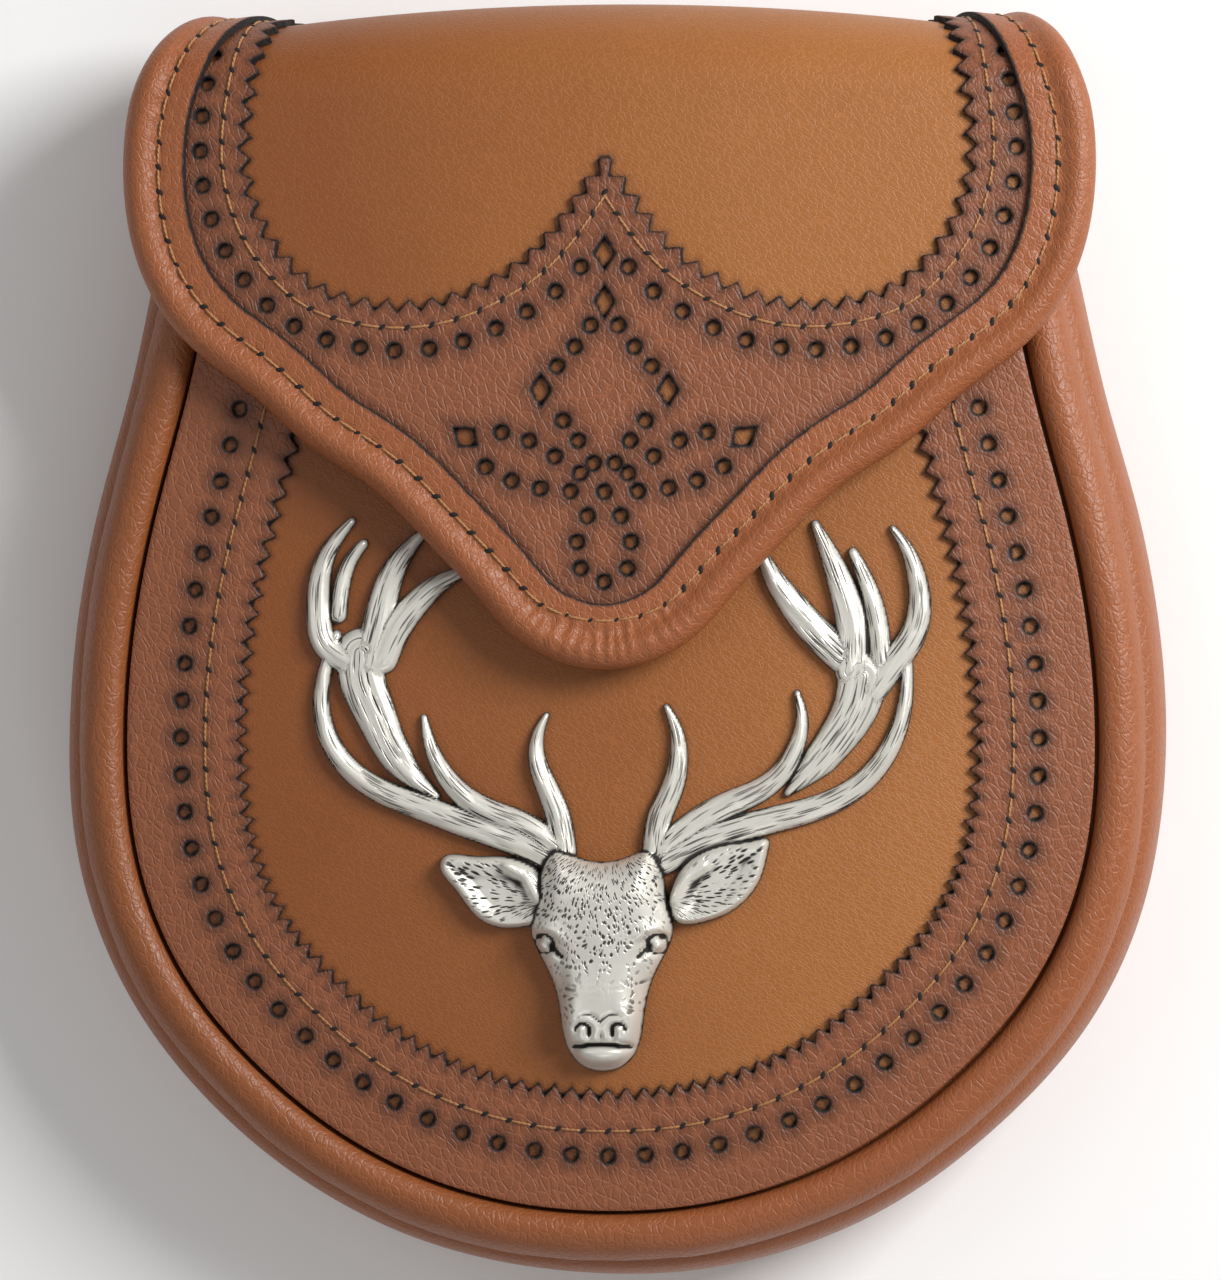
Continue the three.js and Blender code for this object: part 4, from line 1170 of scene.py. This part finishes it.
def antlers(places):
    """Height, reach, grain places and grain strength of the antlers over flat places in percent.
    Each tine is half round: its height is the root of 1 less the square of the distance from its
    line over its half width, and its width falls with a power of the run."""
    height, inside = np.zeros(len(places)), np.full(len(places), -9.0)
    grain = np.zeros((len(places), 3))
    for number, (start, end, *points) in enumerate(TINES):
        line = smooth(points, 44)
        far, run = nearest(places, line)
        share = run / line_length(line)
        wide = (end + (start - end) * (1 - share ** 2.4)) / 2
        if end > start:
            wide = np.interp(share, (0, .32, 1), (.25 * start, 1.08 * start, end)) / 2
        across = far / wide
        round_up = np.sqrt(np.clip(1 - across ** 2, 0, 1))
        ridge = .16 * np.cos(far * 3.4 + 2.4 * ripple(run / 7, far / 3 + number, number))
        tall = np.minimum(2.1, .95 * wide + .5) * round_up ** .8 + ridge * round_up
        over = (np.abs(far) < wide) & (tall > height)
        height = np.where(over, tall, height)
        grain[over] = np.stack([far * 2.6 + 9 * number, run * .16, .8 + 0 * far], 1)[over]
        inside = np.maximum(inside, wide - np.abs(far))
    return height, inside, grain


def ears(places):
    """Height, reach, grain places and strength of the ears: a raised rim round a hollow."""
    height, inside = np.zeros(len(places)), np.full(len(places), -9.0)
    grain = np.zeros((len(places), 3))
    for side, outline in zip((-1, 1), EARS):
        line = smooth(outline, 90, closed=True)
        far, _ = nearest(places, line)
        far = far * -side
        fold, _ = nearest(places, np.array(EAR_FOLD) * (side, 1))
        q = places - (side * 9.0, -7.5)
        angle, away = np.arctan2(q[:, 1], q[:, 0] * side), np.linalg.norm(q, axis=1)
        rim = 3.2 * np.sqrt(np.clip(1 - (1 - np.clip(far / 1.4, 0, 1)) ** 2, 0, 1))
        bowl = 1.5 * np.clip((far - .8) / 2.6, 0, 1) * np.clip((away - 1) / 5, 0, 1)
        tall = rim - bowl + 1.1 * bell(fold, .9)
        over = far > 0
        height = np.where(over, np.maximum(height, tall), height)
        hair = np.clip((far - .4) / .8, 0, 1) * (1 - bell(fold, 1))
        grain[over] = np.stack([angle * 24 + side * 40, away * .55, hair], 1)[over]
        inside = np.maximum(inside, far)
    return height, inside, grain


def head(places):
    """Height, reach, grain places and strength of the head: rounded across from its crest, with
    brows, eyes, cheeks, nostrils and mouth as bell curves, and hair fanned out from the brow."""
    px, y = places[:, 0] + .75, places[:, 1]
    x = np.abs(px)
    rows = np.asarray(HEAD_ROWS, float)
    far, _ = nearest(np.stack([x, y], 1), smooth(rows[:, :2], 140))
    wide = np.interp(y, rows[:10, 1], rows[:10, 0]) + .5
    crest = np.interp(y, rows[:10, 1], rows[:10, 2])
    share = np.clip(far / (.6 * wide), 0, 1)
    height = crest * (1 - (1 - share) ** 2) ** .45
    eye = np.hypot(x - 9.2, y + 14.6)
    corner, _ = nearest(np.stack([x, y], 1), np.array(EYE_LINE))
    height += .9 * bell(np.hypot(x - 9, y + 15.2) - 3.1, .9) * np.clip((y + 14.4) / 1.2, 0, 1)
    for rise, across, width, along, length in FACE_ROWS:
        height += rise * bell(x - across, width) * bell(y - along, length)
    height -= 1.0 * bell(corner, .45)
    height += 1.9 * bell(eye, 1.05)
    height -= .9 * bell(eye - 1.55, .34)
    height += .5 * bell(x, 2.8) * np.clip((-8 - y) / 4, 0, 1) * np.clip((y + 25) / 3, 0, 1)
    height -= .7 * bell(y + 25.9 + .26 * (x - 2.2) ** 2, .34) * np.clip(5 - x, 0, 1)
    ring = np.hypot(x - 2.9, y + 28.5) - 1.1
    height -= 1.4 * bell(ring, .36) * np.clip(y + 29.2, 0, 1)
    height -= 1.9 * bell(y + 30.9 + .02 * x ** 2, .46) * np.clip(5.6 - x, 0, 1)
    lip = np.hypot(x / 4.5, (y + 32.5) / 2.1) - 1
    height -= .8 * bell(lip, .17) * np.clip(-y - 31, 0, 1)
    angle, away = np.arctan2(px, 3 - y), np.hypot(x, y - 3)
    coat = np.clip((y + 24) / 7, 0, 1) * np.clip(far / 1.0, 0, 1) * (1 - .95 * bell(eye, 3.1))
    coat = np.maximum(coat, .8 * np.clip((y + 30) / 4, 0, 1) * np.clip((x - 2.6) / 2, 0, 1)
                      * np.clip((-y - 17) / 3, 0, 1) * np.clip(far / 1.0, 0, 1))
    grain = np.stack([angle * 30 + 1.2 * ripple(x / 2, y / 2, 31), away * .95, coat], 1)
    return np.where(far > 0, height, 0), far, grain


def blurred(height, wide, times):
    """A height grid smoothed by repeated means of each point's four neighbours and itself."""
    h = height.reshape(-1, wide)
    for _ in range(times):
        h = (h + np.roll(h, 1, 0) + np.roll(h, -1, 0) + np.roll(h, 1, 1) + np.roll(h, -1, 1)) / 5
    return h.ravel()


class SPORRAN_OT_stag_badge(bpy.types.Operator):
    """Adds the cast stag head: heights over a flat grid, cut at the outline"""

    bl_idname = "sporran.stag_badge"
    bl_label = "Stag Badge"

    def execute(self, context):
        unit = size.badge_width / 100
        places, faces, wide = grid(*BADGE_AREA, BADGE_STEP)
        tall, inside, grain = antlers(places)
        for part in (ears, head):
            more, within, finer = part(places)
            grain = np.where((more > tall)[:, None], finer, grain)
            tall, inside = np.maximum(tall, more), np.maximum(inside, within)
        fine = blurred(tall, wide, 1)
        hollow = np.clip((blurred(tall, wide, 12) - tall) * 2.3, 0, 1)
        columns = np.column_stack([places * unit, fine, hollow, grain, inside])
        columns, faces, border = trimmed(columns, faces)
        x, y, tall, hollow, hair_u, hair_v, hair, inside = columns.T
        y = y - size.badge_drop
        lift = .35 + np.maximum(tall, .5 * np.sqrt(np.clip(inside / .5, 0, 1)))
        points, faces = slab(on_front(x, y, lift), on_front(x, y, .06 + 0 * x), faces, border)
        hollow = np.maximum(hollow, .8 * (1 - np.clip(inside / .42, 0, 1)))
        layers = {"cavity": hollow, "hair_u": hair_u, "hair_v": hair_v, "hair": hair}
        piece = add_piece("stag_badge_pewter", points, faces, pewter(),
                          {k: np.concatenate([v, v]) for k, v in layers.items()}, 70)
        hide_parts("stag_badge")
        return {"FINISHED"}


class SPORRAN_OT_belt_loops(bpy.types.Operator):
    """Adds the two straps on the back: a flat section whose height follows an eased curve"""

    bl_idname = "sporran.belt_loops"
    bl_label = "Belt Loops"

    def execute(self, context):
        for side in ("left", "right"):
            low, high = node_box("belt_loop_" + side)
            middle, half = (low + high) / 2, (high - low) / 2
            share = np.linspace(-1, 1, 61)
            foot = 1 - 8 / half[1]
            ease = np.clip((foot - np.abs(share)) / .3, 0, 1)
            ease = ease * ease * (3 - 2 * ease)
            top = high[2] - .02 - (high[2] - low[2] - size.leather) * ease
            ring = np.array(LOOP_ROWS)
            x = middle[0] + half[0] * ring[:, 0] + 0 * share[:, None]
            y = middle[1] + half[1] * share[:, None] + 0 * ring[:, 0]
            z = top[:, None] + size.leather * ring[:, 1]
            points = np.stack([x, y, z], -1)
            edge = np.where(np.abs(ring[:, 0]) > .9, .8, 3.0) + 0 * share[:, None]
            piece = tubes("belt_loop_" + side + "_leather", points[None], panel_leather(),
                          {"edge": edge.ravel()}, 35)
            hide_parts("belt_loop_" + side)
        return {"FINISHED"}


class SPORRAN_OT_flap_stud(bpy.types.Operator):
    """Adds the hidden stud under the flap's tip, turned from one profile"""

    bl_idname = "sporran.flap_stud"
    bl_label = "Flap Stud"

    def execute(self, context):
        low, high = node_box("flap_stud")
        middle, half = (low + high) / 2, (high - low) / 2
        out, up = smooth(STUD_ROWS, 40).T[..., None]
        turn = np.linspace(0, math.tau, 48, endpoint=False)
        points = np.stack([middle[0] + half[0] * out * np.cos(turn),
                           middle[1] + half[1] * out * np.sin(turn),
                           low[2] + 2 * half[2] * np.clip(up, 0, 1) + 0 * turn], -1)
        piece = tubes("flap_stud_metal", points[None], brass(), (), 45)
        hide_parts("flap_stud")
        return {"FINISHED"}


def row_ways(line, run):
    """Places at runs along a line, with unit directions ahead and to the left."""
    ahead = along_line(line, np.minimum(run + .2, line_length(line))) - along_line(line, run - .2)
    ahead /= np.maximum(np.linalg.norm(ahead, axis=-1, keepdims=True), 1e-9)
    return along_line(line, run), ahead, np.stack([-ahead[..., 1], ahead[..., 0]], -1)


def stitch_row(line, place, lift):
    """Threads of one row: a round section that swells between two needle holes and dips into them
    with the fourth power of the distance from its middle. Returns points, run and turn."""
    share = np.linspace(.06, .94, 11)
    count = stitch_count(line)
    run = (np.arange(count)[:, None] + share) * (line_length(line) / count)
    middle, _, side = row_ways(line, run)
    turn = np.linspace(0, 1, 6, endpoint=False)
    off = 2 * share[:, None] - 1
    thick = size.thread / 2 * np.sqrt(1 - .8 * off ** 2)
    wave = thick * np.cos(math.tau * turn)
    flat = middle[..., None, :] + side[..., None, :] * wave[..., None]
    tall = lift + .14 - .6 * off ** 4 + thick * np.sin(math.tau * turn)
    points = place(flat[..., 0], flat[..., 1], tall + 0 * flat[..., 0])
    return points, run[..., None] + 0 * turn, turn + 0 * run[..., None]


def add_threads(name, rows):
    """One piece from all the threads of some rows."""
    points, run, turn = (np.concatenate([r[n] for r in rows]) for n in range(3))
    piece = tubes(name, points, thread(), {"run": run.ravel(), "turn": turn.ravel()}, 60)


def marks_row(line, place, lift):
    """Needle marks of one row: low slanted lenses at the ends of its stitches. Each has a middle
    ring of no size, a ring part of the way out and a rim, and falls with the square of that."""
    middle, ahead, left = row_ways(line, needle_runs(line))
    c, s = math.cos(MARK_SLANT), math.sin(MARK_SLANT)
    long, short = ahead * c + left * s, left * c - ahead * s
    turn = np.linspace(0, math.tau, 12, endpoint=False)
    away = np.array([0, .6, 1])[:, None]
    u, v = MARK_LONG * away * np.cos(turn), MARK_WIDE * away * np.sin(turn)
    flat = (middle[:, None, None] + long[:, None, None] * u[..., None]
            + short[:, None, None] * v[..., None])
    tall = lift + .16 * (1 - away ** 2) - .02 + 0 * turn
    return place(flat[..., 0], flat[..., 1], tall + 0 * flat[..., 0])


def add_marks(name, rows):
    """One piece from all the needle marks of some rows: dark lenses of painted shade over the
    stitch holes.
    """
    points = np.concatenate(rows)
    count, rings, around = points.shape[:3]
    first = (np.arange(count) * rings * around)[:, None]
    m = np.arange(around)
    inner, rim = first + around + m, first + 2 * around + m
    fans = np.stack([first + 0 * m, inner, np.roll(inner, -1, 1)], -1).reshape(-1, 3)
    quads = np.stack([inner, rim, np.roll(rim, -1, 1), np.roll(inner, -1, 1)], -1)
    points = points.reshape(-1, 3)
    faces = outward(points, [quads.reshape(-1, 4), fans, rim[:, ::-1]])
    piece = add_piece(name, points, faces, needle_hole_shade(), (), 80)


def belt_foot_rows():
    """Short rows of stitches across the feet of the belt loops, on their outer faces."""
    rows = []
    for side in ("left", "right"):
        low, high = node_box("belt_loop_" + side)
        for y in (low[1] + 3, low[1] + 6, high[1] - 6, high[1] - 3):
            rows.append(np.array([(low[0] + 2, y), (high[0] - 2, y)]))
    return rows


class SPORRAN_OT_stitches(bpy.types.Operator):
    """Adds the threads and the needle marks of every row"""

    bl_idname = "sporran.stitches"
    bl_label = "Stitches"

    def execute(self, context):
        def under(x, y, lift):
            return np.stack([x, y, size.back_low - size.leather - .1 - lift], -1)

        whole = flap_length()
        tail = spaced(np.array([(-46.0, whole - 4), (46.0, whole - 4)]), 60)
        rows = {
            "front": [(front_stitches(), on_front, size.overlay)],
            "flap": [(flap_stitches(), on_flap, size.leather + size.overlay),
                     (tail, on_flap, size.leather)],
            "binding": [(binding_stitches(), on_flap, BINDING_TOP)],
            "loops": [(spaced(line, 9), under, 0) for line in belt_foot_rows()],
        }
        for name, found in rows.items():
            add_threads("stitches_" + name, [stitch_row(*row) for row in found])
            add_marks("needle_hole_shades_" + name, [marks_row(*row) for row in found])
        return {"FINISHED"}


class SPORRAN_OT_stage(bpy.types.Operator):
    """Adds the pale floor, the soft lights and the camera"""

    bl_idname = "sporran.stage"
    bl_label = "Stage"

    def execute(self, context):
        scene = context.scene
        scene.view_settings.view_transform = "Standard"
        s = Shader("floor")
        s.set(base_color=colour("floor"), roughness=.9)
        corners = np.array([(-2000, -2000, -.2), (2000, -2000, -.2), (2000, 2000, -.2),
                            (-2000, 2000, -.2)], float)
        floor = add_piece("floor", corners, [np.array([[0, 1, 2, 3]])], s.material)
        world = bpy.data.worlds.new("studio")
        scene.world = world
        world.use_nodes = True
        sky = world.node_tree.nodes["Background"].inputs
        sky["Color"].default_value = (1, 1, 1, 1)
        sky["Strength"].default_value = SKY
        for name, place, wide, power in LIGHTS:
            light = bpy.data.lights.new(name, "AREA")
            light.size = wide
            light.energy = power
            lamp = bpy.data.objects.new(name, light)
            lamp.location = place
            aim = np.array((0, 0, .02)) - np.array(place)
            flat = math.hypot(aim[0], aim[1])
            lamp.rotation_euler = (math.atan2(flat, -aim[2]), 0, math.atan2(aim[1], aim[0])
                                   - math.pi / 2)
            scene.collection.objects.link(lamp)
        camera = bpy.data.cameras.new("camera")
        camera.sensor_fit = "VERTICAL"
        camera.angle = 2 * math.atan(VIEW_HALF / CAMERA_AWAY)
        eye = bpy.data.objects.new("camera", camera)
        eye.location = (CAMERA_AIM[0] + CAMERA_AWAY * math.sin(CAMERA_LEAN), CAMERA_AIM[1],
                        CAMERA_AIM[2] + CAMERA_AWAY * math.cos(CAMERA_LEAN))
        eye.rotation_euler = (0, CAMERA_LEAN, 0)
        scene.collection.objects.link(eye)
        scene.camera = eye
        return {"FINISHED"}


OPERATORS = (
    SPORRAN_OT_back_panel, SPORRAN_OT_gusset, SPORRAN_OT_edge_roll, SPORRAN_OT_front_panel,
    SPORRAN_OT_front_overlay, SPORRAN_OT_flap_panel, SPORRAN_OT_flap_overlay,
    SPORRAN_OT_flap_binding, SPORRAN_OT_stag_badge, SPORRAN_OT_belt_loops, SPORRAN_OT_flap_stud,
    SPORRAN_OT_stitches, SPORRAN_OT_stage,
)


class SPORRAN_PT_parts(bpy.types.Panel):
    """Lists the pouch's operators"""

    bl_idname = "SPORRAN_PT_parts"
    bl_label = "Sporran"
    bl_space_type = "VIEW_3D"
    bl_region_type = "UI"
    bl_category = "Sporran"

    def draw(self, context):
        for kind in OPERATORS:
            self.layout.operator(kind.bl_idname)


CLASSES = (SporranSizes, SporranColours, *OPERATORS, SPORRAN_PT_parts)


def register():
    for kind in CLASSES:
        bpy.utils.register_class(kind)
    bpy.types.Scene.sporran_sizes = bpy.props.PointerProperty(type=SporranSizes)
    bpy.types.Scene.sporran_colours = bpy.props.PointerProperty(type=SporranColours)


def unregister():
    del bpy.types.Scene.sporran_colours
    del bpy.types.Scene.sporran_sizes
    for kind in reversed(CLASSES):
        bpy.utils.unregister_class(kind)


def main():
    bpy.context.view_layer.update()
    register()
    for kind in OPERATORS:
        group, name = kind.bl_idname.split(".")
        getattr(getattr(bpy.ops, group), name)()


if __name__ == "__main__":
    main()
